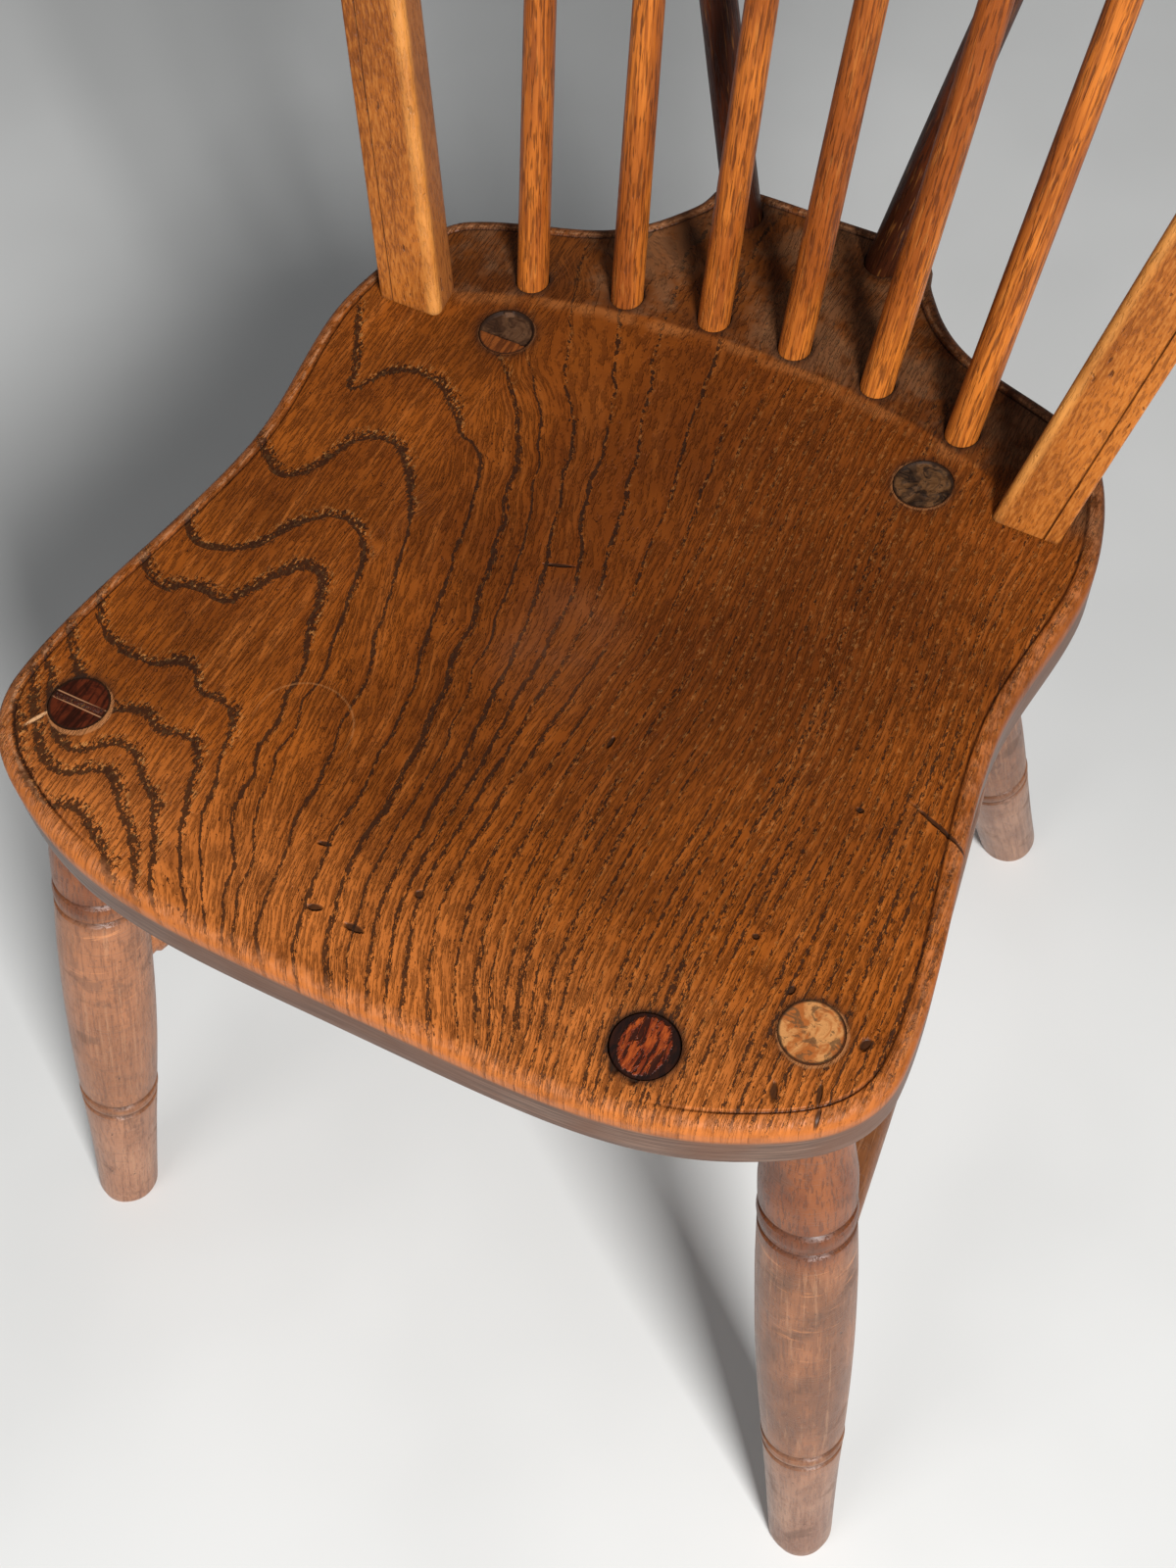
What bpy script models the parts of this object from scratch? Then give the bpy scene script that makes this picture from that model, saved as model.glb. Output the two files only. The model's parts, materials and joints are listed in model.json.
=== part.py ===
"""Stick-back kitchen chair with a bobtail and two braces, in metres.

+Z is up and the sitter faces -Y. The plank seat is shaped and dished, four turned legs go
through it and are joined by three stretchers, and two flat posts and six sticks fan out
and lean back to a bowed crest rail. Two braces run from the tail of the seat to the rail.
"""
import math

import bmesh
import bpy
from mathutils import Matrix, Vector
from mathutils.geometry import interpolate_bezier

CLEARANCE = 0.0003  # between every two pieces that meet

# Seat: how far its shape has come at each landmark, going back from the front edge
SEAT_HEIGHT = 0.447
SEAT_THICKNESS = 0.032
FRONT_TO_WIDEST = 0.0675
WIDEST_TO_WAIST = 0.153
WAIST_TO_HIP = 0.074
HIP_TO_SHOULDER = 0.077
SHOULDER_TO_TAIL = 0.0745
SEAT_FRONT_WIDTH = 0.393
SEAT_WAIST_WIDTH = 0.349
SEAT_HIP_WIDTH = 0.3624
TAIL_WIDTH = 0.113
FRONT_CORNER_WIDTH = 0.039  # where each front corner starts, in from the side
FRONT_CORNER_DEPTH = 0.0195  # and back from the front edge
SEAT_TOP_ROUND = 0.006
SEAT_BOTTOM_ROUND = 0.003
EDGE_LINE_INSET = 0.008  # line scribed round the top
EDGE_LINE_WIDTH = 0.0016
EDGE_LINE_DEPTH = 0.0008
DISH_DEPTH = 0.009
DISH_WIDTH = 0.300
DISH_LENGTH = 0.330
DISH_BACK_TO_WAIST = 0.124  # the dish's rear end lies this far behind the waist

# Legs, by distance down their axis from the top of the seat
FRONT_LEG_FROM_SIDE = 0.034
FRONT_LEG_FROM_FRONT = 0.0645
FRONT_LEG_SPLAY = 0.0525
FRONT_LEG_RAKE = 0.0735
BACK_LEG_FROM_SIDE = 0.0801
BACK_LEG_FROM_SHOULDER = 0.056
BACK_LEG_SPLAY = 0.0589
BACK_LEG_RAKE = 0.1121
LEG_TENON_DIAMETER = 0.0248
LEG_NECK_DIAMETER = 0.0316
LEG_VASE_DIAMETER = 0.0408
LEG_BODY_DIAMETER = 0.0448
LEG_ANKLE_DIAMETER = 0.0400
LEG_FOOT_DIAMETER = 0.0330
UPPER_GROOVE = 0.1245
UPPER_BEAD_WIDTH = 0.0130
LOWER_GROOVE = 0.3300
LOWER_BEAD_WIDTH = 0.0113
GROOVE_WIDTH = 0.0044
GROOVE_DEPTH = 0.0021
FOOT_ROUND = 0.003
LEG_FACETS = 20

# Wedge driven into the top of the front left leg
WEDGE_WIDTH = 0.0234
WEDGE_THICKNESS = 0.0028
WEDGE_TIP = 0.0010
WEDGE_DEPTH = 0.019
WEDGE_TURN = math.radians(3)

# Stretchers
STRETCHER_FRONT_HEIGHT = 0.230
STRETCHER_BACK_HEIGHT = 0.170
STRETCHER_END_DIAMETER = 0.0150
STRETCHER_SHOULDER_DIAMETER = 0.0200
STRETCHER_MIDDLE_DIAMETER = 0.0250
STRETCHER_TENON = 0.016
CROSS_END_DIAMETER = 0.0125
CROSS_SHOULDER_DIAMETER = 0.0175
CROSS_MIDDLE_DIAMETER = 0.0220
CROSS_TENON = 0.008
STRETCHER_FACETS = 16

# Sticks, from the middle outwards
STICK_SEAT_X = (0.0199, 0.0617, 0.1055)
STICK_RAIL_X = (0.0270, 0.0860, 0.1370)
STICK_ROW_FROM_SHOULDER = 0.0081  # the middle of the row, forward of the shoulders
STICK_ROW_FALL = 0.0145  # and its outer sticks stand this much further forward
STICK_SEAT_DIAMETER = 0.0148
STICK_RAIL_DIAMETER = 0.0118
STICK_FACETS = 14
SOCKET_DEPTH = 0.018

# Posts
POST_SEAT_X = 0.1495
POST_RAIL_X = 0.2387
POST_FROM_SHOULDER = 0.0510
POST_WIDTH = 0.0298
POST_DEPTH = 0.0205
POST_INNER_ROUND = 0.0036
POST_OUTER_ROUND = 0.0012
POST_BACK_ROUND = 0.0055
POST_LINE_INSET = 0.0064
POST_LINE_WIDTH = 0.0012
POST_LINE_DEPTH = 0.0008
POST_TENON_DIAMETER = 0.0130

# Braces
BRACE_SEAT_X = 0.0358
BRACE_RAIL_X = 0.1160
BRACE_FROM_TAIL = 0.0188
BRACE_SEAT_DIAMETER = 0.0178
BRACE_RAIL_DIAMETER = 0.0122

# Crest rail, a bowed board that leans back
RAIL_ABOVE_SEAT = 0.380
RAIL_SET_BACK = 0.1180  # its middle, behind the shoulders
RAIL_FALL = 0.0269  # at the posts it has come this far forward of its middle
RAIL_LEAN = math.radians(19)
RAIL_HEIGHT = 0.068
RAIL_THICKNESS = 0.021
RAIL_BEYOND_POSTS = 0.024
RAIL_CORNER = 0.026
RAIL_CROWN = 0.009
RAIL_EDGE_ROUND = 0.003

# Round patch let into the seat near its front edge
PATCH_FROM_MIDDLE = 0.1105
PATCH_FROM_FRONT = 0.0325
PATCH_DIAMETER = 0.0268
PATCH_DEPTH = 0.010

# What follows from the sizes above; here the waist's landmark is at y = 0
WIDEST_Y = -WIDEST_TO_WAIST
FRONT_Y = WIDEST_Y - FRONT_TO_WIDEST
HIP_Y = WAIST_TO_HIP
SHOULDER_Y = HIP_Y + HIP_TO_SHOULDER
TAIL_Y = SHOULDER_Y + SHOULDER_TO_TAIL
SEAT_UNDERSIDE = SEAT_HEIGHT - SEAT_THICKNESS


def srgb(red, green, blue):
    """Linear colour from 8-bit screen values."""
    def part(value):
        value /= 255
        return value / 12.92 if value <= 0.04045 else ((value + 0.055) / 1.055) ** 2.4
    return part(red), part(green), part(blue), 1.0


def material(name, colour, roughness):
    made = bpy.data.materials.new(name)
    made.use_nodes = True
    shader = made.node_tree.nodes["Principled BSDF"]
    shader.inputs["Base Color"].default_value = colour
    shader.inputs["Roughness"].default_value = roughness
    shader.inputs["Metallic"].default_value = 0.0
    return made


def add_object(name, mesh, slot=None):
    """Object in the chair's collection, or a hidden cutter if it has no material."""
    made = bpy.data.objects.new(name, mesh)
    if slot is None:
        cutter_set.objects.link(made)
        made.hide_render = True
        made.display_type = "WIRE"
    else:
        chair_set.objects.link(made)
        mesh.materials.append(slot)
    made.parent = floor_point
    return made


def finish_mesh(bm, name):
    mesh = bpy.data.meshes.new(name)
    bmesh.ops.recalc_face_normals(bm, faces=bm.faces)
    bm.to_mesh(mesh)
    bm.free()
    mesh.shade_smooth()
    mesh.set_sharp_from_angle(angle=math.radians(32))
    return mesh


def cut(piece, *cutters, operation="DIFFERENCE"):
    for cutter in cutters:
        step = piece.modifiers.new("cut_by_" + cutter.name, "BOOLEAN")
        step.operation = operation
        step.solver = "EXACT"
        step.object = cutter


def aim(made, start, end, side=Vector((1, 0, 0))):
    """Put the object's origin at start, its +Z along the line to end and its +X at side."""
    up = (end - start).normalized()
    if up.cross(side).length < 0.01:
        side = Vector((0, -1, 0))
    back = up.cross(side).normalized()
    across = back.cross(up)
    turn = Matrix((across, back, up)).transposed()
    made.location = start
    made.rotation_euler = turn.to_euler()


def turned(name, profile, start, end, slot=None, facets=STICK_FACETS, grow=0.0):
    """Round piece on the line from start to end; the profile is (height, radius) pairs, and
    growing it makes the room that the piece needs in its neighbours."""
    low, high = profile[0][0] - grow, profile[-1][0] + grow
    points = [(0.0, high)] + [
        (radius + grow, min(max(height, low), high)) for height, radius in reversed(profile)
    ] + [(0.0, low)]
    if grow:
        points[1] = (points[1][0], high)
        points[-2] = (points[-2][0], low)
    bm = bmesh.new()
    line = [bm.verts.new((x, 0, z)) for x, z in points]
    for a, b in zip(line, line[1:]):
        bm.edges.new((a, b))
    mesh = bpy.data.meshes.new(name)
    bm.to_mesh(mesh)
    bm.free()
    made = add_object(name, mesh, slot)
    spin = made.modifiers.new("turn", "SCREW")
    spin.steps = spin.render_steps = facets
    spin.use_merge_vertices = True
    spin.merge_threshold = 0.00002
    spin.use_smooth_shade = True
    aim(made, start, end)
    return made


def block(name, low, high):
    """Cutter box between two corners."""
    bm = bmesh.new()
    bmesh.ops.create_cube(bm, size=1.0)
    size = Vector(high) - Vector(low)
    bmesh.ops.scale(bm, vec=size, verts=bm.verts)
    bmesh.ops.translate(bm, vec=(Vector(high) + Vector(low)) / 2, verts=bm.verts)
    return add_object(name, finish_mesh(bm, name))


def seat_knots():
    """Right half of the seat's outline from the front's middle to the tail's middle: place,
    heading in degrees, handle length before and after, and how many steps follow."""
    wide, waist, hip = SEAT_FRONT_WIDTH / 2, SEAT_WAIST_WIDTH / 2, SEAT_HIP_WIDTH / 2
    tail = TAIL_WIDTH / 2
    return [
        (0.0, FRONT_Y, 0, 0.075, 0.075, 6),
        (wide - FRONT_CORNER_WIDTH, FRONT_Y + FRONT_CORNER_DEPTH, 27, 0.047, 0.016, 5),
        (wide, WIDEST_Y, 90, 0.028, 0.045, 6),
        (waist, 0.0, 90, 0.045, 0.025, 4),
        (hip, HIP_Y, 90, 0.025, 0.026, 5),
        (hip - 0.0290, SHOULDER_Y, 151, 0.019, 0.020, 3),
        (tail + 0.0370, SHOULDER_Y + 0.0215, 155, 0.018, 0.012, 4),
        (tail + 0.0100, TAIL_Y - 0.0300, 126, 0.012, 0.010, 3),
        (tail, TAIL_Y - 0.0105, 97, 0.008, 0.0045, 3),
        (tail - 0.0080, TAIL_Y - 0.0010, 172, 0.0050, 0.014, 2),
        (0.0, TAIL_Y, 180, 0.020, 0.020, 0),
    ]


def seat_loop(inset):
    """Closed outline moved inwards, counter-clockwise from the front's middle."""
    knots = seat_knots()
    def moved(knot, by):
        x, y, heading = knot[:3]
        turn = math.radians(heading + 90)
        return Vector((x + by * math.cos(turn), y + by * math.sin(turn), 0))
    half = []
    for a, b in zip(knots, knots[1:]):
        p, q = moved(a, inset), moved(b, inset)
        ratio = (q - p).length / (moved(b, 0) - moved(a, 0)).length
        out, into = math.radians(a[2]), math.radians(b[2])
        first = p + ratio * a[4] * Vector((math.cos(out), math.sin(out), 0))
        last = q - ratio * b[3] * Vector((math.cos(into), math.sin(into), 0))
        half += interpolate_bezier(p, first, last, q, a[5] + 1)[:-1]
    half.append(moved(knots[-1], inset))
    other = [Vector((-v.x, v.y, 0)) for v in reversed(half[1:-1])]
    return half + other


def dish(x, y):
    """How far the sitting surface has been hollowed at a place."""
    middle = DISH_BACK_TO_WAIST - DISH_LENGTH / 2
    across = abs(2 * x / DISH_WIDTH) ** 2.4
    along = abs(2 * (y - middle) / DISH_LENGTH) ** 2.4
    reach = (across + along) ** (1 / 2.4)
    return DISH_DEPTH * (1 - reach * reach) ** 2 if reach < 1 else 0.0


def seat_rings():
    """Sections of the plank from its underside over the edge to the middle of its top."""
    rings = []
    for step in range(3):
        angle = math.radians(45 * step)
        rings.append((SEAT_BOTTOM_ROUND * (1 - math.sin(angle)),
                      SEAT_UNDERSIDE + SEAT_BOTTOM_ROUND * (1 - math.cos(angle))))
    for step in range(4):
        angle = math.radians(30 * step)
        rings.append((SEAT_TOP_ROUND * (1 - math.cos(angle)),
                      SEAT_HEIGHT - SEAT_TOP_ROUND * (1 - math.sin(angle))))
    half = EDGE_LINE_WIDTH / 2
    rings += [(EDGE_LINE_INSET - half, SEAT_HEIGHT),
              (EDGE_LINE_INSET, SEAT_HEIGHT - EDGE_LINE_DEPTH),
              (EDGE_LINE_INSET + half, SEAT_HEIGHT)]
    made = [[Vector((v.x, v.y, z)) for v in seat_loop(inset)] for inset, z in rings]
    inner = made[-1]
    middle = Vector((0, DISH_BACK_TO_WAIST - DISH_LENGTH / 2, SEAT_HEIGHT))
    shares = 10
    for step in range(1, shares):
        share = 1 - step / shares
        ring = [middle + (v - middle) * share for v in inner]
        made.append([Vector((v.x, v.y, SEAT_HEIGHT - dish(v.x, v.y))) for v in ring])
    return made


def loft(bm, rings):
    """Skin unlike sections one after another and close both ends."""
    rows = [[bm.verts.new(v) for v in ring] for ring in rings]
    count = len(rows[0])
    for low, high in zip(rows, rows[1:]):
        for i in range(count):
            j = (i + 1) % count
            bm.faces.new((low[i], low[j], high[j], high[i]))
    bm.faces.new(reversed(rows[0]))
    bm.faces.new(rows[-1])


def make_seat():
    bm = bmesh.new()
    loft(bm, seat_rings())
    bmesh.ops.triangulate(bm, faces=bm.faces)
    return add_object("seat", finish_mesh(bm, "seat"), elm)


def leg_ends(side, front):
    """Top of the leg's axis on the seat and its foot on the floor."""
    if front:
        x = SEAT_FRONT_WIDTH / 2 - FRONT_LEG_FROM_SIDE
        y = FRONT_Y + FRONT_LEG_FROM_FRONT
        foot = Vector((side * (x + FRONT_LEG_SPLAY), y - FRONT_LEG_RAKE, 0))
    else:
        x = SEAT_HIP_WIDTH / 2 - BACK_LEG_FROM_SIDE
        y = SHOULDER_Y - BACK_LEG_FROM_SHOULDER
        foot = Vector((side * (x + BACK_LEG_SPLAY), y + BACK_LEG_RAKE, 0))
    return Vector((side * x, y, SEAT_HEIGHT)), foot


def groove(at, radius):
    half = GROOVE_WIDTH / 2
    return [(at - half, radius), (at - half * 0.45, radius - GROOVE_DEPTH),
            (at + half * 0.45, radius - GROOVE_DEPTH), (at + half, radius)]


def leg_profile(length, excess):
    """(height, radius) pairs from the foot up, with the axis's origin at the foot."""
    vase, body = LEG_VASE_DIAMETER / 2, LEG_BODY_DIAMETER / 2
    neck, ankle = LEG_NECK_DIAMETER / 2, LEG_ANKLE_DIAMETER / 2
    tenon, foot = LEG_TENON_DIAMETER / 2, LEG_FOOT_DIAMETER / 2
    upper_end = UPPER_GROOVE + UPPER_BEAD_WIDTH
    lower_end = LOWER_GROOVE + LOWER_BEAD_WIDTH
    between = LOWER_GROOVE - upper_end
    below = length - lower_end
    down = [(-excess, tenon), (0.0, tenon), (SEAT_THICKNESS, neck)]
    down += [(SEAT_THICKNESS + share * (UPPER_GROOVE - SEAT_THICKNESS), neck + rise * (vase - neck))
             for share, rise in ((0.28, 0.10), (0.48, 0.32), (0.66, 0.66), (0.82, 0.92))]
    down += groove(UPPER_GROOVE, vase) + [((UPPER_GROOVE + upper_end) / 2, vase + 0.0006)]
    down += groove(upper_end, vase + 0.0004)
    down += [(upper_end + share * between, vase + rise * (body - vase))
             for share, rise in ((0.08, 0.45), (0.24, 0.86), (0.50, 1.0), (0.70, 0.80), (0.88, 0.35))]
    down += groove(LOWER_GROOVE, vase) + [((LOWER_GROOVE + lower_end) / 2, ankle + 0.0008)]
    down += groove(lower_end, ankle)
    down += [(lower_end + share * below, foot + rise * (ankle - foot))
             for share, rise in ((0.22, 0.72), (0.45, 0.46), (0.72, 0.20))]
    down += [(length - FOOT_ROUND, foot), (length, foot - FOOT_ROUND * 0.45),
             (length + excess, foot - FOOT_ROUND * 0.45)]
    return [(length - d, r) for d, r in reversed(down)]


def make_leg(name, side, front, room, envelope):
    top, foot = leg_ends(side, front)
    length = (top - foot).length
    excess = 0.012
    leg = turned(name, leg_profile(length, excess), foot, top, beech_leg, LEG_FACETS)
    cut(leg, envelope, operation="INTERSECT")
    neck, end = LEG_NECK_DIAMETER / 2, LEG_TENON_DIAMETER / 2
    tenon = [(length - 2 * SEAT_THICKNESS, neck), (length - SEAT_THICKNESS, neck),
             (length, end), (length + excess, end)]
    room.append(turned("room_for_" + name, tenon, foot, top, None, LEG_FACETS, CLEARANCE))
    return leg


def wedge_shape(name, grow, slot=None):
    """Tapered block with its thick end at the top, long across the leg's grain."""
    bm = bmesh.new()
    bmesh.ops.create_cube(bm, size=1.0)
    excess = 0.006
    for vert in bm.verts:
        high = vert.co.z > 0
        thick = (WEDGE_THICKNESS if high else WEDGE_TIP) + 2 * grow
        long = WEDGE_WIDTH if not grow else LEG_TENON_DIAMETER * 1.6
        vert.co = (vert.co.x * long, vert.co.y * thick, excess if high else -WEDGE_DEPTH - grow)
    return add_object(name, finish_mesh(bm, name), slot)


def make_wedge(leg, envelope):
    top, foot = leg_ends(-1, True)
    across = Vector((math.cos(WEDGE_TURN), math.sin(WEDGE_TURN), 0))
    wedge = wedge_shape("wedge_front_left", 0.0, wedge_wood)
    kerf = wedge_shape("kerf_front_left", CLEARANCE)
    for shape in (wedge, kerf):
        aim(shape, top, top + (top - foot), across)
    cut(wedge, envelope, operation="INTERSECT")
    cut(leg, kerf)


def on_leg(side, front, height):
    top, foot = leg_ends(side, front)
    return foot.lerp(top, height / SEAT_HEIGHT)


def stretcher_profile(length, tenon, end, shoulder, middle):
    """Turned stretcher: a short tenon, then a long swell to the middle."""
    half = [(tenon + 0.002, shoulder / 2 * 0.92), (tenon + 0.012, shoulder / 2)]
    half += [(tenon + 0.012 + share * (length / 2 - tenon - 0.012),
              shoulder / 2 + rise * (middle - shoulder) / 2)
             for share, rise in ((0.4, 0.5), (0.75, 0.88))]
    low = [(0.0, end / 2), (tenon, end / 2)] + half
    return low + [(length / 2, middle / 2)] + [(length - h, r) for h, r in reversed(low)]


def make_stretchers(legs):
    """Side stretchers join front to back legs, and the cross stretcher joins their middles."""
    inside = LEG_BODY_DIAMETER / 2 - STRETCHER_TENON
    middles, sides = [], []
    for word, side in (("left", -1), ("right", 1)):
        front = on_leg(side, True, STRETCHER_FRONT_HEIGHT)
        back = on_leg(side, False, STRETCHER_BACK_HEIGHT)
        along = (back - front).normalized()
        start, end = front + along * inside, back - along * inside
        length = (end - start).length
        shape = (STRETCHER_END_DIAMETER, STRETCHER_SHOULDER_DIAMETER, STRETCHER_MIDDLE_DIAMETER)
        profile = stretcher_profile(length, STRETCHER_TENON + 0.005, *shape)
        sides.append(turned("side_stretcher_" + word, profile, start, end, beech_leg,
                            STRETCHER_FACETS))
        room = turned("room_for_side_stretcher_" + word, profile, start, end, None,
                      STRETCHER_FACETS, CLEARANCE)
        cut(legs[word, True], room)
        cut(legs[word, False], room)
        middles.append(start.lerp(end, 0.5))
    left, right = middles
    reach = Vector((STRETCHER_MIDDLE_DIAMETER / 2 - CROSS_TENON, 0, 0))
    start, end = left + reach, right - reach
    length = (end - start).length
    shape = (CROSS_END_DIAMETER, CROSS_SHOULDER_DIAMETER, CROSS_MIDDLE_DIAMETER)
    profile = stretcher_profile(length, CROSS_TENON + 0.003, *shape)
    turned("cross_stretcher", profile, start, end, beech_leg, STRETCHER_FACETS)
    room = turned("room_for_cross_stretcher", profile, start, end, None, STRETCHER_FACETS, CLEARANCE)
    for side_stretcher in sides:
        cut(side_stretcher, room)


def rail_y(x):
    """Middle of the crest rail's underside, seen from above."""
    return SHOULDER_Y + RAIL_SET_BACK - RAIL_FALL * (x / POST_RAIL_X) ** 2


def rail_point(x):
    return Vector((x, rail_y(x), SEAT_HEIGHT + RAIL_ABOVE_SEAT))


def stick_profile(length, low, high):
    taper = [(share * length, (low + share * (high - low)) / 2) for share in (0.0, 0.5, 1.0)]
    taper[0] = (0.0, low / 2 - 0.001)
    taper.insert(1, (0.001, low / 2))
    taper[-1] = (length - 0.001, high / 2)
    return taper + [(length, high / 2 - 0.001)]


def make_rod(name, seat_point, top_point, low, high, slot, rooms):
    """Straight rod let into the seat and into the rail by the socket depth."""
    along = (top_point - seat_point).normalized()
    start, end = seat_point - along * SOCKET_DEPTH, top_point + along * SOCKET_DEPTH
    profile = stick_profile((end - start).length, low, high)
    turned(name, profile, start, end, slot)
    rooms.append(turned("room_for_" + name, profile, start, end, None, STICK_FACETS, CLEARANCE))


def make_sticks(rooms):
    places = [(-x, -u) for x, u in zip(reversed(STICK_SEAT_X), reversed(STICK_RAIL_X))]
    places += list(zip(STICK_SEAT_X, STICK_RAIL_X))
    for number, (x, rail_x) in enumerate(places, 1):
        y = SHOULDER_Y - STICK_ROW_FROM_SHOULDER - STICK_ROW_FALL * (x / STICK_SEAT_X[-1]) ** 2
        make_rod("stick_%d" % number, Vector((x, y, SEAT_HEIGHT)), rail_point(rail_x),
                 STICK_SEAT_DIAMETER, STICK_RAIL_DIAMETER, beech_stick, rooms)


def make_braces(rooms):
    for word, side in (("left", -1), ("right", 1)):
        foot = Vector((side * BRACE_SEAT_X, TAIL_Y - BRACE_FROM_TAIL, SEAT_HEIGHT))
        make_rod("brace_" + word, foot, rail_point(side * BRACE_RAIL_X),
                 BRACE_SEAT_DIAMETER, BRACE_RAIL_DIAMETER, beech_brace, rooms)


def fillet(before, corner, after, radius, steps=3):
    """Points that round a corner of a polygon."""
    if radius == 0:
        return [corner]
    a, b = (before - corner).normalized(), (after - corner).normalized()
    half = a.angle(b) / 2
    reach = radius / math.tan(half)
    centre = corner + (a + b).normalized() * radius / math.sin(half)
    first, last = (corner + a * reach - centre).normalized(), (corner + b * reach - centre).normalized()
    return [centre + first.slerp(last, step / steps) * radius for step in range(steps + 1)]


def post_section(side):
    """Outline of a post seen from above, its front face at -Y, with a line near its outer edge."""
    w, d = POST_WIDTH / 2, POST_DEPTH / 2
    line, half = w - POST_LINE_INSET, POST_LINE_WIDTH / 2
    corners = [((-w, -d), POST_INNER_ROUND), ((line - half, -d), 0), ((line, -d + POST_LINE_DEPTH), 0),
               ((line + half, -d), 0), ((w, -d), POST_OUTER_ROUND), ((w, d), POST_BACK_ROUND),
               ((-w, d), POST_BACK_ROUND)]
    points = []
    for i, (corner, radius) in enumerate(corners):
        before, after = corners[i - 1][0], corners[(i + 1) % len(corners)][0]
        points += fillet(Vector((*before, 0)), Vector((*corner, 0)), Vector((*after, 0)), radius)
    return [Vector((side * p.x, p.y, 0)) for p in points]


def above_post(word, side):
    """Cutter that trims a post's top to the rail's underside, which leans and follows the bow."""
    x = side * POST_RAIL_X
    tangent = Vector((POST_RAIL_X, -2 * RAIL_FALL * side, 0)).normalized()
    up = Vector((0, math.sin(RAIL_LEAN), math.cos(RAIL_LEAN)))
    over = tangent.cross(up).cross(tangent)
    reach = 2 * POST_WIDTH + 2 * POST_DEPTH
    trim = block("above_post_" + word, (-reach, -reach, -2 * CLEARANCE), (reach, reach, reach))
    aim(trim, rail_point(x), rail_point(x) + over, tangent)
    return trim


def make_post(word, side, rooms, seat_block):
    """Flat post: its shoulders stand on the seat and meet the rail, and a round tenon enters each."""
    foot = Vector((side * POST_SEAT_X, SHOULDER_Y - POST_FROM_SHOULDER, SEAT_HEIGHT))
    top = rail_point(side * POST_RAIL_X)
    along = (top - foot).normalized()
    length = (top - foot).length
    excess = 0.020
    bm = bmesh.new()
    face = bm.faces.new([bm.verts.new(p - Vector((0, 0, excess))) for p in post_section(side)])
    risen = bmesh.ops.extrude_face_region(bm, geom=[face], use_keep_orig=True)
    tall = Vector((0, 0, length + 2 * excess))
    bmesh.ops.translate(bm, vec=tall, verts=[v for v in risen["geom"] if isinstance(v, bmesh.types.BMVert)])
    post = add_object("post_" + word, finish_mesh(bm, "post_" + word), beech_post)
    aim(post, foot, top)
    cut(post, seat_block, above_post(word, side))
    start, end = foot - along * SOCKET_DEPTH, top + along * SOCKET_DEPTH
    profile = [(0.0, POST_TENON_DIAMETER / 2), ((end - start).length, POST_TENON_DIAMETER / 2)]
    tenon = turned("tenon_of_post_" + word, profile, start, end)
    cut(post, tenon, operation="UNION")
    rooms.append(turned("room_for_post_" + word, profile, start, end, None, STICK_FACETS, CLEARANCE))


def rail_top(x):
    """Height of the rail's upper edge: slightly crowned, with round shoulders."""
    half = POST_RAIL_X + RAIL_BEYOND_POSTS
    height = RAIL_HEIGHT - RAIL_CROWN * (x / half) ** 2
    into = abs(x) - (half - RAIL_CORNER)
    if into > 0:
        height -= RAIL_CORNER - math.sqrt(max(RAIL_CORNER ** 2 - into ** 2, 0.0))
    return height


def make_rail(rooms):
    """Board with its lower edge on the rail line, bowed and leaning back."""
    half = POST_RAIL_X + RAIL_BEYOND_POSTS
    columns, rows = 22, 2
    bm = bmesh.new()
    bmesh.ops.create_grid(bm, x_segments=columns, y_segments=rows, size=1.0)
    for vert in bm.verts:
        x = half * math.sin(vert.co.x * math.pi / 2)
        share = (vert.co.y + 1) / 2
        up = share * rail_top(x)
        vert.co = (x, rail_y(x) + up * math.sin(RAIL_LEAN),
                   SEAT_HEIGHT + RAIL_ABOVE_SEAT + up * math.cos(RAIL_LEAN))
    rail = add_object("crest_rail", finish_mesh(bm, "crest_rail"), beech_post)
    board = rail.modifiers.new("board", "SOLIDIFY")
    board.thickness = RAIL_THICKNESS
    board.offset = 0
    edge = rail.modifiers.new("edge", "BEVEL")
    edge.width = RAIL_EDGE_ROUND
    edge.segments = 2
    edge.limit_method = "ANGLE"
    edge.angle_limit = math.radians(50)
    cut(rail, *rooms)


def make_patch(seat):
    place = Vector((PATCH_FROM_MIDDLE, FRONT_Y + PATCH_FROM_FRONT, SEAT_HEIGHT))
    low = place - Vector((0, 0, PATCH_DEPTH))
    profile = [(0.0, PATCH_DIAMETER / 2), (PATCH_DEPTH - CLEARANCE, PATCH_DIAMETER / 2)]
    turned("round_patch", profile, low, place, patch_wood, LEG_FACETS)
    through = [(0.0, PATCH_DIAMETER / 2), (PATCH_DEPTH + 0.01, PATCH_DIAMETER / 2)]
    room = turned("room_for_round_patch", through, low, place, None, LEG_FACETS, CLEARANCE)
    cut(seat, room)


def chair():
    """Every piece of the chair."""
    seat = make_seat()
    wide = 1.0
    envelope = block("leg_envelope", (-wide, -wide, 0), (wide, wide, SEAT_HEIGHT - CLEARANCE))
    seat_block = block("below_posts", (-wide, -wide, 0), (wide, wide, SEAT_HEIGHT + CLEARANCE))
    leg_rooms, back_rooms, legs = [], [], {}
    for word, side in (("left", -1), ("right", 1)):
        for place, front in (("front", True), ("back", False)):
            legs[word, front] = make_leg("leg_%s_%s" % (place, word), side, front, leg_rooms, envelope)
    make_stretchers(legs)
    make_wedge(legs["left", True], envelope)
    make_sticks(back_rooms)
    make_braces(back_rooms)
    for word, side in (("left", -1), ("right", 1)):
        make_post(word, side, back_rooms, seat_block)
    make_rail(back_rooms)
    cut(seat, *leg_rooms, *back_rooms)
    make_patch(seat)


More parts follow.
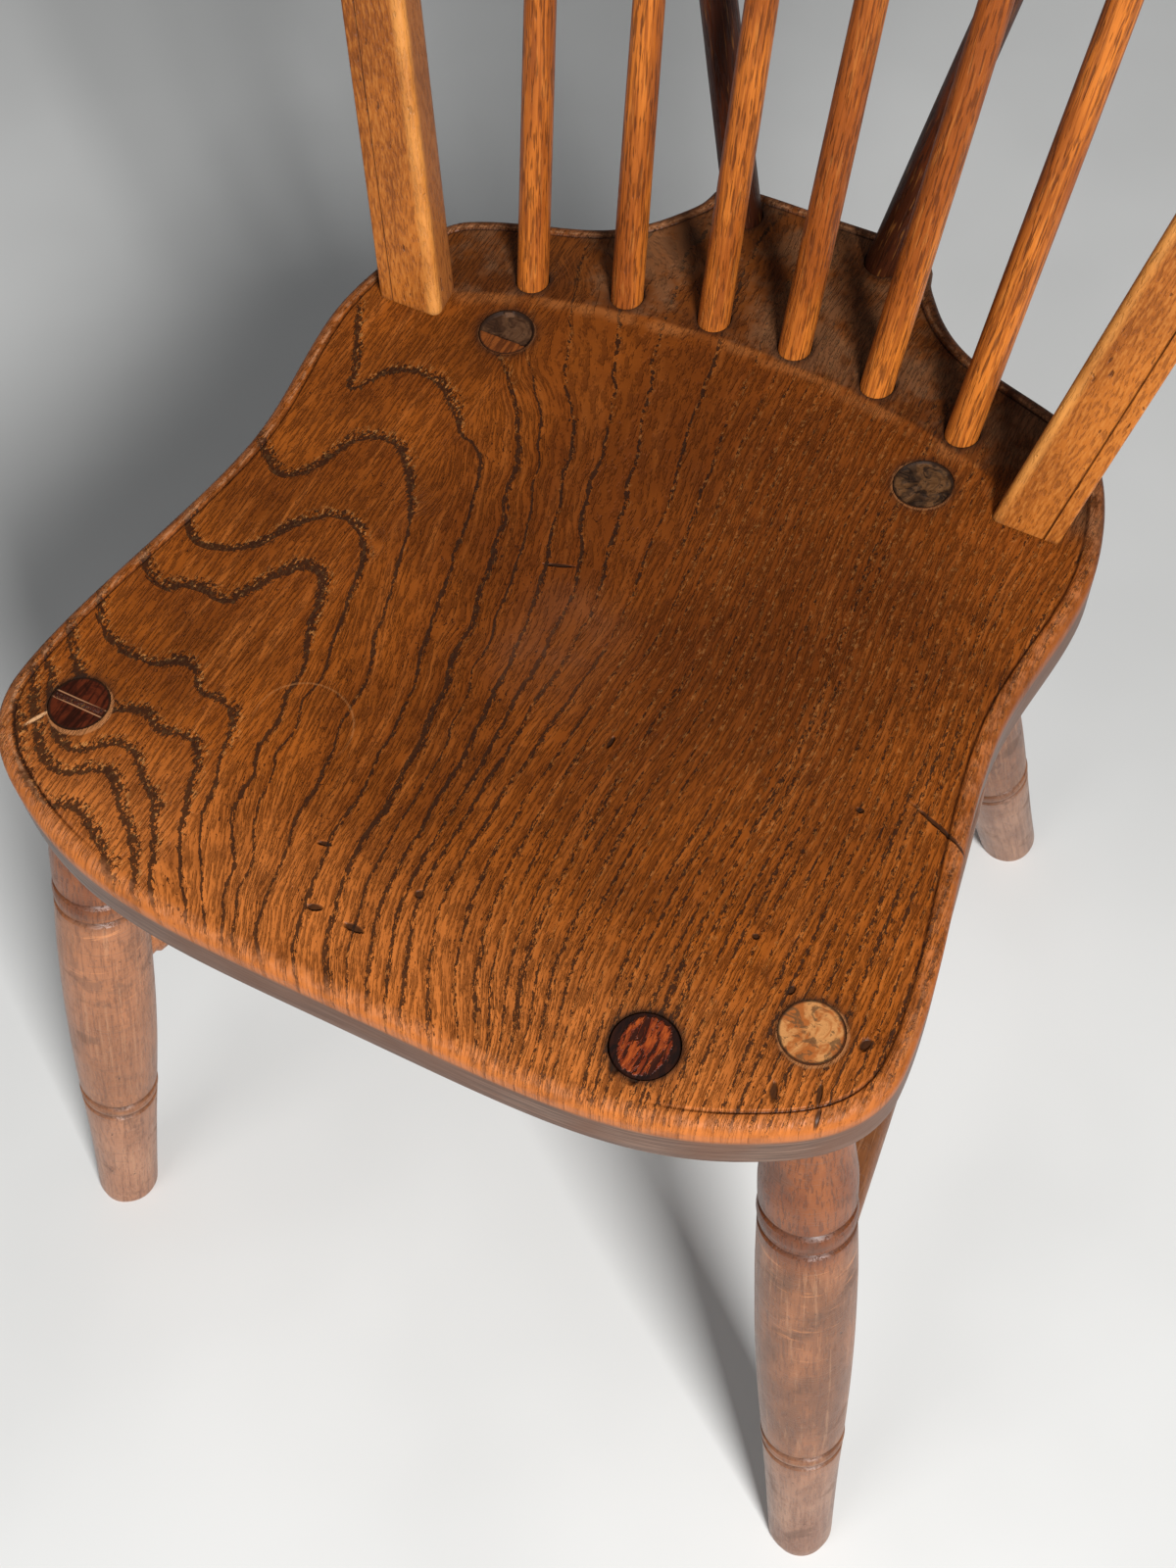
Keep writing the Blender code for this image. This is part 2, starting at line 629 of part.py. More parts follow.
def middle_of_depth():
    """Midway between the front feet's front and the back of the crest rail."""
    front = leg_ends(1, True)[1].y - LEG_FOOT_DIAMETER / 2
    back = rail_y(0) + rail_top(0) * math.sin(RAIL_LEAN) + RAIL_THICKNESS / 2 * math.cos(RAIL_LEAN)
    return (front + back) / 2


for old in list(bpy.data.objects):
    bpy.data.objects.remove(old, do_unlink=True)
chair_set = bpy.data.collections.new("stick_back_chair")
cutter_set = bpy.data.collections.new("cutters")
for new_set in (chair_set, cutter_set):
    bpy.context.scene.collection.children.link(new_set)
floor_point = bpy.data.objects.new("floor_point", None)
floor_point.location = (0, -middle_of_depth(), 0)
chair_set.objects.link(floor_point)

elm = material("seat_elm", srgb(158, 88, 36), 0.38)
beech_leg = material("leg_beech", srgb(172, 122, 90), 0.42)
beech_stick = material("stick_beech", srgb(176, 103, 44), 0.36)
beech_post = material("post_beech", srgb(190, 125, 62), 0.36)
beech_brace = material("brace_beech", srgb(104, 54, 26), 0.36)
patch_wood = material("patch_wood", srgb(120, 52, 22), 0.40)
wedge_wood = material("wedge_wood", srgb(84, 44, 24), 0.45)

chair()
bpy.context.view_layer.update()
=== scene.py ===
import json
import math

import bmesh
import bpy
import numpy as np
from mathutils import Euler, Matrix, Vector, noise
from mathutils.geometry import interpolate_bezier
from mathutils.kdtree import KDTree

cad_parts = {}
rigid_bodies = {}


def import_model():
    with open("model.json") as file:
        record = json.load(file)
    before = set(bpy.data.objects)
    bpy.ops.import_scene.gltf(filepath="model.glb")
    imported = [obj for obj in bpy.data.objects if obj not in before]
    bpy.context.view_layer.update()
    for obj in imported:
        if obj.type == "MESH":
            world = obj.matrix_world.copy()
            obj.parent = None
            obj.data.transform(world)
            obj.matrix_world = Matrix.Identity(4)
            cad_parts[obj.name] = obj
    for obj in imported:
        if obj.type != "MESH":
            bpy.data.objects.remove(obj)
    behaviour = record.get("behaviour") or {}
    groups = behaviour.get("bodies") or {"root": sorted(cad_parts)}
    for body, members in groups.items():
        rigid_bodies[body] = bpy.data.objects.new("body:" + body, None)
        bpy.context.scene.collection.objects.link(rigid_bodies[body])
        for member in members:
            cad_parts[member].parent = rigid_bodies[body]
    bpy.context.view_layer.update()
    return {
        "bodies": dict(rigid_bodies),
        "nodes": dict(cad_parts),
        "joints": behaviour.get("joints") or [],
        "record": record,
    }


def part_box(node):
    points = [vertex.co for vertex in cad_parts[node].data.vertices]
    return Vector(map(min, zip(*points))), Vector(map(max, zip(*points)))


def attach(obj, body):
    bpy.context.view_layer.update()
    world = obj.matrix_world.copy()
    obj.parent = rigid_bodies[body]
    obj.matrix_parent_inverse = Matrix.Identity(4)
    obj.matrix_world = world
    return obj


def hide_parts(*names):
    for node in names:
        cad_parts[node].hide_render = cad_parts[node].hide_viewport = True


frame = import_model()

# Lengths are in metres. Everything is shaped on the seat's own plan, which has its zero at the
# middle of the waist, and is moved onto the frame when it is finished.
CLEARANCE = 0.0003
SEAT_HEIGHT = 0.447
SEAT_UNDERSIDE = 0.415
FRONT_Y = -0.2205
WIDEST_Y = -0.153
HIP_Y = 0.074
SHOULDER_Y = 0.151
TAIL_Y = 0.2255
HALF_FRONT, HALF_WAIST, HALF_HIP, HALF_TAIL = 0.1965, 0.1745, 0.1812, 0.0565
TOP_ROUND, BOTTOM_ROUND = 0.006, 0.003
LINE_INSET, LINE_WIDTH, LINE_DEPTH = 0.008, 0.0018, 0.0009
DISH_DEPTH, DISH_WIDTH, DISH_LENGTH, DISH_BACK = 0.009, 0.300, 0.330, 0.124

ONTO_FRAME = Matrix.Translation((0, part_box("seat")[0].y - FRONT_Y, 0))

# Growth rings of the elm plank where they come out in the seat's top: the number of a ring, then
# places that its hard edge passes, in millimetres from the plan's zero less TRACED_FROM
TRACED_FROM = 0.004
RINGS = {
    0: ((-176, -187), (-168, -196), (-152, -205), (-147, -206), (-137, -203), (-124, -209),
        (-111, -219)),
    1: ((-190, -157), (-174, -177), (-164, -188), (-158, -191), (-152, -192), (-142, -187),
        (-136, -184), (-130, -186), (-118, -197), (-110, -203), (-99, -217)),
    2: ((-190, -148), (-174, -168), (-166, -176), (-160, -180), (-153, -181), (-148, -179),
        (-138, -171), (-132, -171), (-120, -180), (-113, -184), (-104, -197), (-94, -212),
        (-89, -219)),
    3: ((-188, -133), (-178, -144), (-165, -157), (-157, -160), (-149, -159), (-136, -154),
        (-127, -158), (-122, -158), (-118, -156), (-113, -156), (-108, -159), (-104, -165),
        (-97, -184), (-87, -203), (-75, -218), (-71, -224)),
    4: ((-187, -112), (-176, -126), (-170, -129), (-150, -132), (-143, -131), (-139, -128),
        (-133, -126), (-129, -127), (-125, -132), (-120, -135), (-107, -136), (-103, -140),
        (-97, -158), (-90, -180), (-80, -198), (-70, -212), (-60, -225)),
    5: ((-186, -84), (-178, -91), (-165, -98), (-160, -97), (-155, -93), (-148, -91), (-140, -93),
        (-134, -91), (-127, -79), (-118, -64), (-113, -61), (-109, -62), (-103, -75), (-96, -96),
        (-92, -107), (-88, -130), (-83, -158), (-77, -183), (-67, -197), (-59, -216), (-54, -225)),
    6: ((-180, -54), (-168, -70), (-163, -72), (-148, -68), (-137, -59), (-130, -45), (-125, -38),
        (-118, -33), (-112, -32), (-103, -38), (-99, -43), (-93, -64), (-87, -88), (-82, -118),
        (-79, -143), (-73, -164), (-65, -183), (-58, -205), (-50, -222)),
    7: ((-177, -5), (-163, -18), (-148, -24), (-142, -20), (-137, -12), (-128, 9), (-122, 12),
        (-115, 12), (-110, 9), (-100, -3), (-90, -18), (-86, -27), (-84, -38), (-77, -60),
        (-68, -88), (-64, -108), (-59, -130), (-56, -152), (-52, -177), (-47, -203), (-38, -223)),
    8: ((-174, 90), (-163, 60), (-152, 38), (-147, 31), (-138, 45), (-130, 51), (-122, 52),
        (-106, 44), (-95, 33), (-90, 29), (-84, 28), (-80, 25), (-72, 5), (-67, -13), (-63, -32),
        (-58, -52), (-52, -77), (-45, -103), (-42, -130), (-39, -165), (-33, -198), (-25, -218),
        (-21, -225)),
    9: ((-131, 140), (-125, 122), (-118, 106), (-110, 94), (-90, 70), (-84, 61), (-75, 52),
        (-66, 35), (-62, 25), (-57, 6), (-54, 0), (-48, -25), (-41, -50), (-36, -82), (-31, -110),
        (-28, -150), (-25, -180), (-21, -194), (-9, -221)),
    10: ((-112, 140), (-96, 98), (-88, 82), (-76, 67), (-70, 60), (-61, 42), (-53, 22), (-45, 3),
        (-40, -18), (-35, -45), (-31, -72), (-25, -99), (-21, -122), (-20, -150), (-17, -178),
        (-10, -201), (-6, -212), (0, -222)),
    11: ((-90, 140), (-82, 118), (-72, 95), (-52, 60), (-43, 42), (-37, 20), (-32, 3), (-27, -15),
        (-21, -40), (-18, -62), (-15, -90), (-12, -118), (-10, -150), (-7, -180), (1, -205),
        (10, -224)),
    12: ((-70, 150), (-60, 122), (-50, 98), (-40, 76), (-34, 55), (-30, 32), (-26, 18), (-16, -3),
        (-12, -18), (-8, -55), (-6, -95), (-4, -115), (-3, -150), (-2, -165), (5, -195),
        (17, -222)),
    13: ((-45, 170), (-38, 130), (-30, 98), (-22, 72), (-10, 30), (-4, 0), (2, -38), (1, -75),
        (2, -115), (3, -150), (4, -165), (7, -181), (18, -208), (25, -223)),
    14: ((-22, 190), (-16, 140), (-8, 100), (-2, 70), (7, 30), (12, -10), (14, -35), (12, -70),
        (10, -110), (11, -150), (16, -181), (21, -195), (37, -224)),
    16: ((12, 200), (18, 120), (22, 70), (27, 30), (30, -10), (30, -50), (28, -90), (28, -130),
        (31, -160), (37, -185), (55, -222)),
    20: ((45, 200), (46, 120), (48, 70), (51, 30), (55, -10), (57, -50), (55, -90), (55, -130),
        (57, -160), (61, -185), (72, -222)),
    25: ((70, 160), (72, 110), (74, 60), (78, 20), (84, -20), (87, -60), (86, -100), (86, -140),
        (88, -170), (92, -195), (97, -220)),
    31: ((105, 150), (106, 100), (107, 50), (111, 10), (116, -30), (117, -70), (117, -110),
        (118, -150), (120, -185), (124, -215)),
    36: ((132, 140), (133, 90), (135, 40), (140, 0), (144, -40), (146, -80), (147, -120),
        (148, -160), (150, -190), (152, -210)),
    41: ((160, 140), (162, 90), (160, 40), (163, 0), (168, -40), (172, -80), (175, -120),
        (177, -150), (178, -180)),
}


def srgb(red, green, blue):
    """Linear colour from 8-bit screen values."""
    def part(value):
        value /= 255
        return value / 12.92 if value <= 0.04045 else ((value + 0.055) / 1.055) ** 2.4
    return part(red), part(green), part(blue), 1.0


# Finishes

class Signal:
    """One output of a finish's nodes. Arithmetic on it adds Math nodes."""

    def __init__(self, finish, socket):
        self.finish, self.socket = finish, socket

    def math(self, operation, *others):
        return self.finish.node("ShaderNodeMath", {"operation": operation}, (self, *others))

    def __add__(self, other):
        return self.math("ADD", other)

    def __sub__(self, other):
        return self.math("SUBTRACT", other)

    def __rsub__(self, other):
        return self.finish.node("ShaderNodeMath", {"operation": "SUBTRACT"}, (other, self))

    def __mul__(self, other):
        return self.math("MULTIPLY", other)

    def __truediv__(self, other):
        return self.math("DIVIDE", other)

    __radd__, __rmul__ = __add__, __mul__


class Finish:
    """A material under the brush: its nodes are added from first to last."""

    def __init__(self, name, roughness, shine=0.3):
        self.material = bpy.data.materials.new(name)
        self.material.use_nodes = True
        self.tree = self.material.node_tree
        self.shader = self.tree.nodes["Principled BSDF"]
        self.shader.inputs["Roughness"].default_value = roughness
        self.shader.inputs["Specular IOR Level"].default_value = shine

    def node(self, kind, settings=None, inputs=(), output=0):
        made = self.tree.nodes.new(kind)
        for key, value in (settings or {}).items():
            setattr(made, key, value)
        pairs = inputs.items() if isinstance(inputs, dict) else enumerate(inputs)
        for key, value in pairs:
            if isinstance(value, Signal):
                self.tree.links.new(value.socket, made.inputs[key])
            else:
                made.inputs[key].default_value = value
        return Signal(self, made.outputs[output])

    def kept(self, name, output=2):
        """A value kept on the piece's own points."""
        return self.node("ShaderNodeAttribute", {"attribute_name": name}, output=output)

    def here(self):
        return self.node("ShaderNodeTexCoord", output=3)

    def part(self, vector, axis):
        return self.node("ShaderNodeSeparateXYZ", None, (vector,), axis)

    def stretch(self, vector, x, y, z):
        return self.node("ShaderNodeVectorMath", {"operation": "MULTIPLY"}, (vector, (x, y, z)))

    def length(self, vector):
        return self.node("ShaderNodeVectorMath", {"operation": "LENGTH"}, (vector,), 1)

    def cloud(self, vector, scale=1.0, detail=2.0, rough=0.5, swirl=0.0):
        return self.node("ShaderNodeTexNoise", None, {
            "Vector": vector, "Scale": scale, "Detail": detail, "Roughness": rough,
            "Distortion": swirl})

    def drawn(self, vector, x, y, z, detail=2.0, rough=0.5, swirl=0.0):
        """Cloud drawn out along the axes that have the smaller numbers."""
        return self.cloud(self.stretch(vector, x, y, z), 1.0, detail, rough, swirl)

    def rise(self, signal, low, high, start=0.0, end=1.0):
        """Goes softly from start to end while the signal goes from low to high."""
        return self.node("ShaderNodeMapRange", {"interpolation_type": "SMOOTHSTEP"},
                         {0: signal, 1: low, 2: high, 3: start, 4: end})

    def fall(self, signal, low, high):
        return self.rise(signal, low, high, 1.0, 0.0)

    def tint(self, under, over, share):
        """Puts a share of one colour over another; plain colours are 8-bit screen values."""
        under, over = (c if isinstance(c, Signal) else srgb(*c) for c in (under, over))
        return self.node("ShaderNodeMix", {"data_type": "RGBA"}, {0: share, 6: under, 7: over}, 2)

    def coats(self, colour, *coats):
        """Puts (colour, share) pairs over a colour, from first to last."""
        for over, share in coats:
            colour = self.tint(colour, over, share)
        return colour

    def spot(self, x, y, long, wide, turn=0.0, soft=0.25, ragged=None):
        """Mask of an oval on the seat; place and widths in millimetres, as RINGS was traced."""
        place = Vector((x, y + 1000 * (TRACED_FROM + ONTO_FRAME.translation.y), 0)) / 1000
        moved = self.node("ShaderNodeVectorMath", {"operation": "SUBTRACT"}, (self.here(), place))
        turned = self.node("ShaderNodeVectorRotate", {"rotation_type": "Z_AXIS"},
                           {"Vector": moved, "Angle": -math.radians(turn)})
        reach = self.length(self.stretch(turned, 2000 / long, 2000 / wide, 0))
        if ragged is not None:
            reach = reach + ragged
        return self.fall(reach, 1 - soft, 1 + soft)

    def finish(self, colour, roughness, *bumps):
        """Feeds the shader; each bump is (height signal, distance, strength)."""
        shader, links = self.shader.inputs, self.tree.links
        links.new(colour.socket, shader["Base Color"])
        if roughness is not None:
            links.new(roughness.socket, shader["Roughness"])
        normal = None
        for height, distance, strength in bumps:
            inputs = {"Height": height, "Distance": distance, "Strength": strength}
            if normal is not None:
                inputs["Normal"] = normal
            normal = self.node("ShaderNodeBump", None, inputs)
        if normal is not None:
            links.new(normal.socket, shader["Normal"])
        return self.material


# Marks on the seat, in millimetres as the rings: place, length, width and turn in degrees
KNOCKS = (
    (149, -148, 4.0, 2.6, 80), (182, -156, 6.0, 3.8, 70), (160, -187.5, 8.0, 2.8, 110),
    (175, -181, 10.0, 2.0, 105), (178, -189, 7.0, 1.8, 100), (128, -134, 2.8, 2.2, 0),
    (38, -78, 6.0, 2.0, 88), (141, -67, 3.0, 2.2, 0), (5, -174, 3.6, 3.6, 0),
    (-39, -171, 5.5, 2.0, 15), (104, -203, 4.5, 9.0, 8), (113, -204, 4.2, 7.0, -20),
    (-22, -9, 12, 1.5, 20), (-28, -197, 6, 3, 20), (-10, -198, 8, 3, 0))
GASH = (172, -61, 27, 1.8, -21)
SCRATCH = (-174.2, -173.5, 11.0, 1.7, 62)
# rubbed rims round the leg tenons: place, width and how light
TENON_RIMS = ((-161.1, -161.3, 27.2, 0.70), (163.4, -160.8, 26.8, 0.50), (-101, 91, 26.4, 0.20),
              (101, 90.4, 26.6, 0.35))


def seat_elm():
    """Open-pored elm under old wax: lighter at the edges, worn and with a painted highlight, a painted
    highlight over the front, and painted shade in the middle.
    """
    f = Finish("seat_elm", 0.38, 0.15)
    here, grain, edge = f.here(), f.kept("grain", 1), f.kept("edge")
    sideways, lengthways, height = (f.part(here, axis) for axis in range(3))
    top = f.rise(height, SEAT_HEIGHT - 0.0125, SEAT_HEIGHT - 0.0080)
    inside = f.rise(edge, -0.0010, 0.0042) * top
    patchy = f.cloud(here, 45, 2.0) - 0.5
    flat_sawn = f.fall(sideways + patchy * 0.03, -0.106, -0.080)
    straight_sawn = 1.0 - flat_sawn
    right = f.rise(sideways + patchy * 0.05, -0.020, 0.050)
    quiet_back = f.rise(lengthways, 0.010, 0.070) * 0.10
    quiet = (f.spot(80, 20, 180, 210, 0, 0.45) * 0.09).math("MAXIMUM", quiet_back)

    def fibres(across, along, rough):
        """Drawn out along the fibres, which bend with the rings but run straight through arches."""
        bent = f.drawn(grain, across, along, 0, 3.0, rough)
        return f.drawn(here, across, along, 0, 3.0, rough) * flat_sawn + bent * straight_sawn

    # rings of the plank, each with a hard edge and a band of open wood after it
    number, spacing = f.kept("ring_number"), f.kept("spacing")
    jag = f.drawn(grain, 640, 260, 0, 3.0, 0.7) - 0.5
    uneven = f.cloud(f.node("ShaderNodeCombineXYZ", None, (number * 0.9,)), detail=1.0) - 0.5
    ring = number + jag * (flat_sawn * 0.0055 + 0.0025) / spacing
    ring = ring + (patchy * 0.35 + uneven * 1.1) * straight_sawn
    phase = ring.math("FRACT")
    beyond = phase * spacing
    begun = f.rise(beyond, 0.0, 0.0003)
    wide = 0.0017 - right * 0.0005
    line = begun * f.fall(beyond, wide * 0.6, wide * 1.5)
    band = begun * f.fall(beyond, 0.0010 + flat_sawn * 0.0015, 0.0032 + flat_sawn * 0.0050)
    band = band * (1.0 - f.rise(lengthways, 0.045, 0.065) * flat_sawn)

    # pores: short slits beside the straight rings, specks in the broad arches
    slits, dots = f.drawn(grain, 1080, 310, 0, 3.0, 0.7), f.drawn(here, 720, 400, 0, 3.0, 0.7)
    pores = dots * flat_sawn + slits * straight_sawn
    fading = f.rise(f.drawn(grain, 70, 24, 0), 0.40, 0.60) * 0.09
    density = line * (0.15 - right * 0.04) + band * (0.11 + flat_sawn * 0.11 - right * 0.04)
    density = density - quiet - fading - flat_sawn * 0.02
    pits = f.rise(pores + density, 0.605, 0.645) * inside
    flecks = f.rise(f.drawn(here, 640, 330, 9, 2.0, 0.7), 0.52, 0.60)
    flecks = flecks * band * (flat_sawn * 0.7 + 0.3) * inside
    threads = f.rise(fibres(820, 80, 0.7), 0.46, 0.62) * inside

    # body colour, from the front's orange to the browner middle, with a painted highlight over the front
    warm = f.rise(f.cloud(here, 13, 4.0, 0.6), 0.36, 0.66)
    streaks = f.rise(fibres(190, 11, 0.65), 0.48, 0.72) * inside
    # painted shade over the middle of the dish
    painted_shade_middle = f.spot(40, 25, 250, 260, 0, 0.6)
    blotches = f.rise(f.cloud(here, 60, 4.0, 0.7), 0.50, 0.70)
    colour = f.coats(
        f.tint((152, 80, 24), (113, 57, 15), warm),
        ((180, 102, 42), streaks * 0.55),
        ((80, 36, 9), painted_shade_middle * 0.60),
        # painted highlight: lighter orange towards the front
        ((200, 116, 54), f.rise(lengthways, -0.165, -0.235) * 0.72),
        ((104, 48, 13), f.rise(phase, 0.40, 1.0) * inside * 0.28),
        ((88, 42, 14), blotches * 0.35),
        ((70, 32, 9), threads * 0.50),
        ((196, 138, 78), flecks * 0.60),
        ((32, 16, 8), pits * 0.88))

    # a light line is painted along the dish's back edge in front of the sticks as the highlight of a
    # ridge; behind it the wax has gone dull and grey, and it is painted dark, partly for old wax and
    # partly as shade of the sticks and posts
    rear = f.rise(lengthways, 0.060, 0.085)
    hollow = f.spot(0, 40, 378, 178, 0, 0.016, patchy * 0.05)
    ridge_highlight = (hollow - f.spot(0, 40, 362, 166, 0, 0.030, patchy * 0.05)) * rear
    behind = (1.0 - hollow) * rear * top
    back = behind * f.rise(f.cloud(here, 30, 4.0, 0.65), 0.44, 0.60)

    # rounded edge, worn and with a painted highlight, and the line scribed inside it with a painted
    # highlight beside it
    edge_patches = f.rise(f.cloud(here, 150, 5.0, 0.75), 0.40, 0.60)
    wear_and_highlight = f.rise(edge, 0.0002, 0.0030) * f.fall(edge, 0.0045, 0.0085) * top
    crest = f.rise(edge, 0.0050, 0.0058) * f.fall(edge, 0.0064, 0.0072) * top
    back_left = f.rise(sideways - lengthways, 0.12, 0.02)
    colour = f.coats(
        colour,
        # painted shade of the sticks and posts with dark old wax behind the ridge, dull grey patches,
        # then the ridge's painted highlight
        ((46, 26, 14), behind * 0.50),
        ((128, 94, 66), back * 0.36),
        ((176, 112, 62), ridge_highlight * f.rise(patchy, -0.12, 0.08) * 0.32),
        # painted highlight with wear on the rounded edge, then a painted highlight along the scribed
        # line's outer side
        ((200, 128, 82), wear_and_highlight * (0.06 + edge_patches * 0.30)),
        ((206, 150, 108), crest * edge_patches * back_left * 0.45),
        ((40, 18, 9), f.kept("scribed") * 0.85),
        ((40, 27, 20), f.kept("grime") * 0.90))

    # marks of use, and the faint curve that a cup has left
    ragged = (f.cloud(here, 420, 2.0) - 0.5) * 0.10
    for x, y, wide, light in TENON_RIMS:
        colour = f.tint(colour, (178, 118, 72), f.spot(x, y, wide, wide, 0, 0.03, ragged) * light)
    marks = f.spot(*GASH, 0.4, ragged * 6)
    for knock in KNOCKS:
        marks = marks.math("MAXIMUM", f.spot(*knock, 0.35, ragged * 5))
    outer, inner = (f.spot(-76, -128, wide, wide, 0, 0.02, ragged * 0.3) for wide in (42, 40.6))
    cup = (outer - inner) * f.rise(lengthways, -0.165, -0.140)
    colour = f.coats(
        colour,
        ((34, 22, 15), marks * 0.88),
        ((222, 170, 122), f.spot(*SCRATCH, 0.35) * 0.85),
        ((176, 118, 70), cup * 0.40))

    # sides of the plank: greyish with horizontal streaks, painted as the reflection of the pale floor,
    # with brown patches over it
    side_streaks = f.drawn(here, 30, 30, 900, 4.0, 0.65)
    side = f.tint((122, 94, 78), (78, 56, 44), f.rise(side_streaks, 0.36, 0.62))
    side = f.tint(side, (96, 56, 30), f.rise(f.cloud(here, 22, 3.0), 0.40, 0.66) * 0.6)
    colour = f.tint(side, colour, top)

    rough = 0.34 + f.cloud(here, 40, 3.0) * 0.16 + pits * 0.20 + back * 0.12
    relief = 1.0 - pits.math("MAXIMUM", marks).math("MAXIMUM", threads * 0.40) * top
    return f.finish(colour, rough, (relief, 0.0012, 1.0), (f.cloud(here, 160, 3.0), 0.0005, 0.25))


def tenon_end(word, pale, deep, dark, dark_share, rough=0.6, relief=0.0004, stripes=0.0):
    """End grain of a leg where it comes through the seat."""
    f = Finish("end_" + word, rough, 0.15)
    grain = f.kept("grain", 1)
    from_middle = f.part(grain, 1)
    mottle = f.drawn(grain, 130, 90, 0, 4.0, 0.6, 0.8)
    lines = f.drawn(grain, 620, 60, 0)
    blots = f.drawn(grain, 170, 230, 0, 4.0, 0.7, 1.0)
    colour = f.coats(
        f.tint(pale, deep, f.rise(mottle, 0.42, 0.56)),
        (dark, f.rise(lines, 0.48, 0.58) * stripes),
        (dark, f.rise(blots, 0.50, 0.58) * dark_share))
    if word == "back_left":  # its front part stayed level with the seat and took its colour
        seat_like = f.tint((124, 66, 26), (84, 42, 16), f.rise(lines, 0.44, 0.60))
        colour = f.tint(colour, seat_like, f.fall(from_middle, -0.0042, -0.0034))
    if word == "front_left":  # pale kerf on both sides of the wedge
        from_wedge = from_middle.math("ABSOLUTE")
        kerf = f.rise(from_wedge, 0.0013, 0.0015) * f.fall(from_wedge, 0.0018, 0.0021)
        colour = f.tint(colour, (176, 128, 92), kerf * 0.75)
    # painted shade: a dark ring round the end, in the gap where it meets the seat
    reach = f.length(f.stretch(grain, 1, 1, 0))
    colour = f.tint(colour, (36, 22, 14), f.rise(reach, 0.0112, 0.0122) * 0.9)
    return f.finish(colour, None, (mottle + blots, relief, 0.9))


def patch_finish():
    """Round patch of darker wood, charred black and ragged round its rim."""
    f = Finish("patch_wood", 0.42)
    grain = f.kept("grain", 1)
    streak = f.rise(f.drawn(grain, 420, 90, 0, 4.0, 0.65), 0.36, 0.56)
    dark = f.rise(f.drawn(grain, 460, 110, 0, 3.0, 0.7, 0.6), 0.50, 0.57)
    reach = f.length(f.stretch(grain, 1.06, 1, 0))
    sideways = f.rise(f.part(grain, 0).math("ABSOLUTE"), 0.005, 0.012) * 0.0024
    ragged = (f.drawn(grain, 460, 280, 0, 3.0, 0.7) - 0.5) * 0.0050
    burnt = f.rise(reach + ragged + sideways, 0.0112, 0.0122)
    colour = f.coats(f.tint((158, 72, 26), (104, 38, 14), streak),
                     ((30, 12, 7), dark * 0.88), ((20, 10, 7), burnt * 0.95))
    return f.finish(colour, None, (1.0 - dark.math("MAXIMUM", burnt), 0.0006, 0.8))


def shaved_beech(name, pale, deep, fleck, fleck_share):
    """Shaved beech: fine dark strokes along the grain under a dark varnish."""
    f = Finish(name, 0.40, 0.35)
    grain, grime = f.kept("grain", 1), f.kept("grime")
    mottle = f.rise(f.drawn(grain, 60, 60, 9, 3.0), 0.36, 0.62)
    threads = f.rise(f.drawn(grain, 700, 700, 26, 3.0, 0.7), 0.45, 0.60)
    strokes = f.rise(f.drawn(grain, 860, 860, 70, 2.0, 0.6), 0.53, 0.62)
    glints = f.rise(f.drawn(grain, 700, 700, 60), 0.58, 0.70)
    colour = f.coats(
        f.tint(pale, deep, mottle),
        (f.tint(deep, fleck, 0.25), threads * 0.80),
        (fleck, strokes * fleck_share),
        ((222, 146, 70), glints * 0.30 * fleck_share),
        ((44, 26, 16), grime * 0.85))
    rough = 0.34 + f.cloud(grain, 70, 2.0) * 0.14 + grime * 0.15
    return f.finish(colour, rough, (1.0 - strokes * 0.6 - threads * 0.3, 0.0005, 0.8),
                    (f.cloud(grain, 120, 2.0), 0.0008, 0.25))


def post_beech():
    """Flat posts: short fleck, an inner edge worn and painted with a bright highlight, and a dark line by
    the outer edge.
    """
    f = Finish("post_beech", 0.42, 0.35)
    grain = f.kept("grain", 1)
    mottle = f.drawn(grain, 40, 40, 14, 4.0, 0.6)
    flecks = f.drawn(grain, 900, 900, 190, 2.0, 0.6)
    dark_flecks = f.rise(flecks, 0.52, 0.62)
    pits = f.rise(f.drawn(grain, 360, 360, 130), 0.70, 0.74)
    side = f.rise(f.part(grain, 1), -0.0075, -0.0050)
    outermost = f.rise(f.part(grain, 0).math("ABSOLUTE"), 0.0130, 0.0146)
    colour = f.coats(
        f.tint((176, 101, 35), (140, 76, 23), f.rise(mottle, 0.36, 0.64)),
        ((104, 54, 18), dark_flecks * 0.50),
        ((204, 134, 64), f.rise(flecks, 0.46, 0.38) * 0.30),
        ((70, 34, 12), pits * 0.7),
        # the inner edge: wear and a painted highlight
        ((224, 154, 78), f.kept("wear_and_highlight") * 0.60),
        ((46, 24, 12), f.kept("grime") * 0.85),
        ((124, 78, 46), side * outermost * 0.55))
    return f.finish(colour, None, (1.0 - dark_flecks * 0.5 - pits, 0.0004, 0.7), (mottle, 0.0006, 0.2))


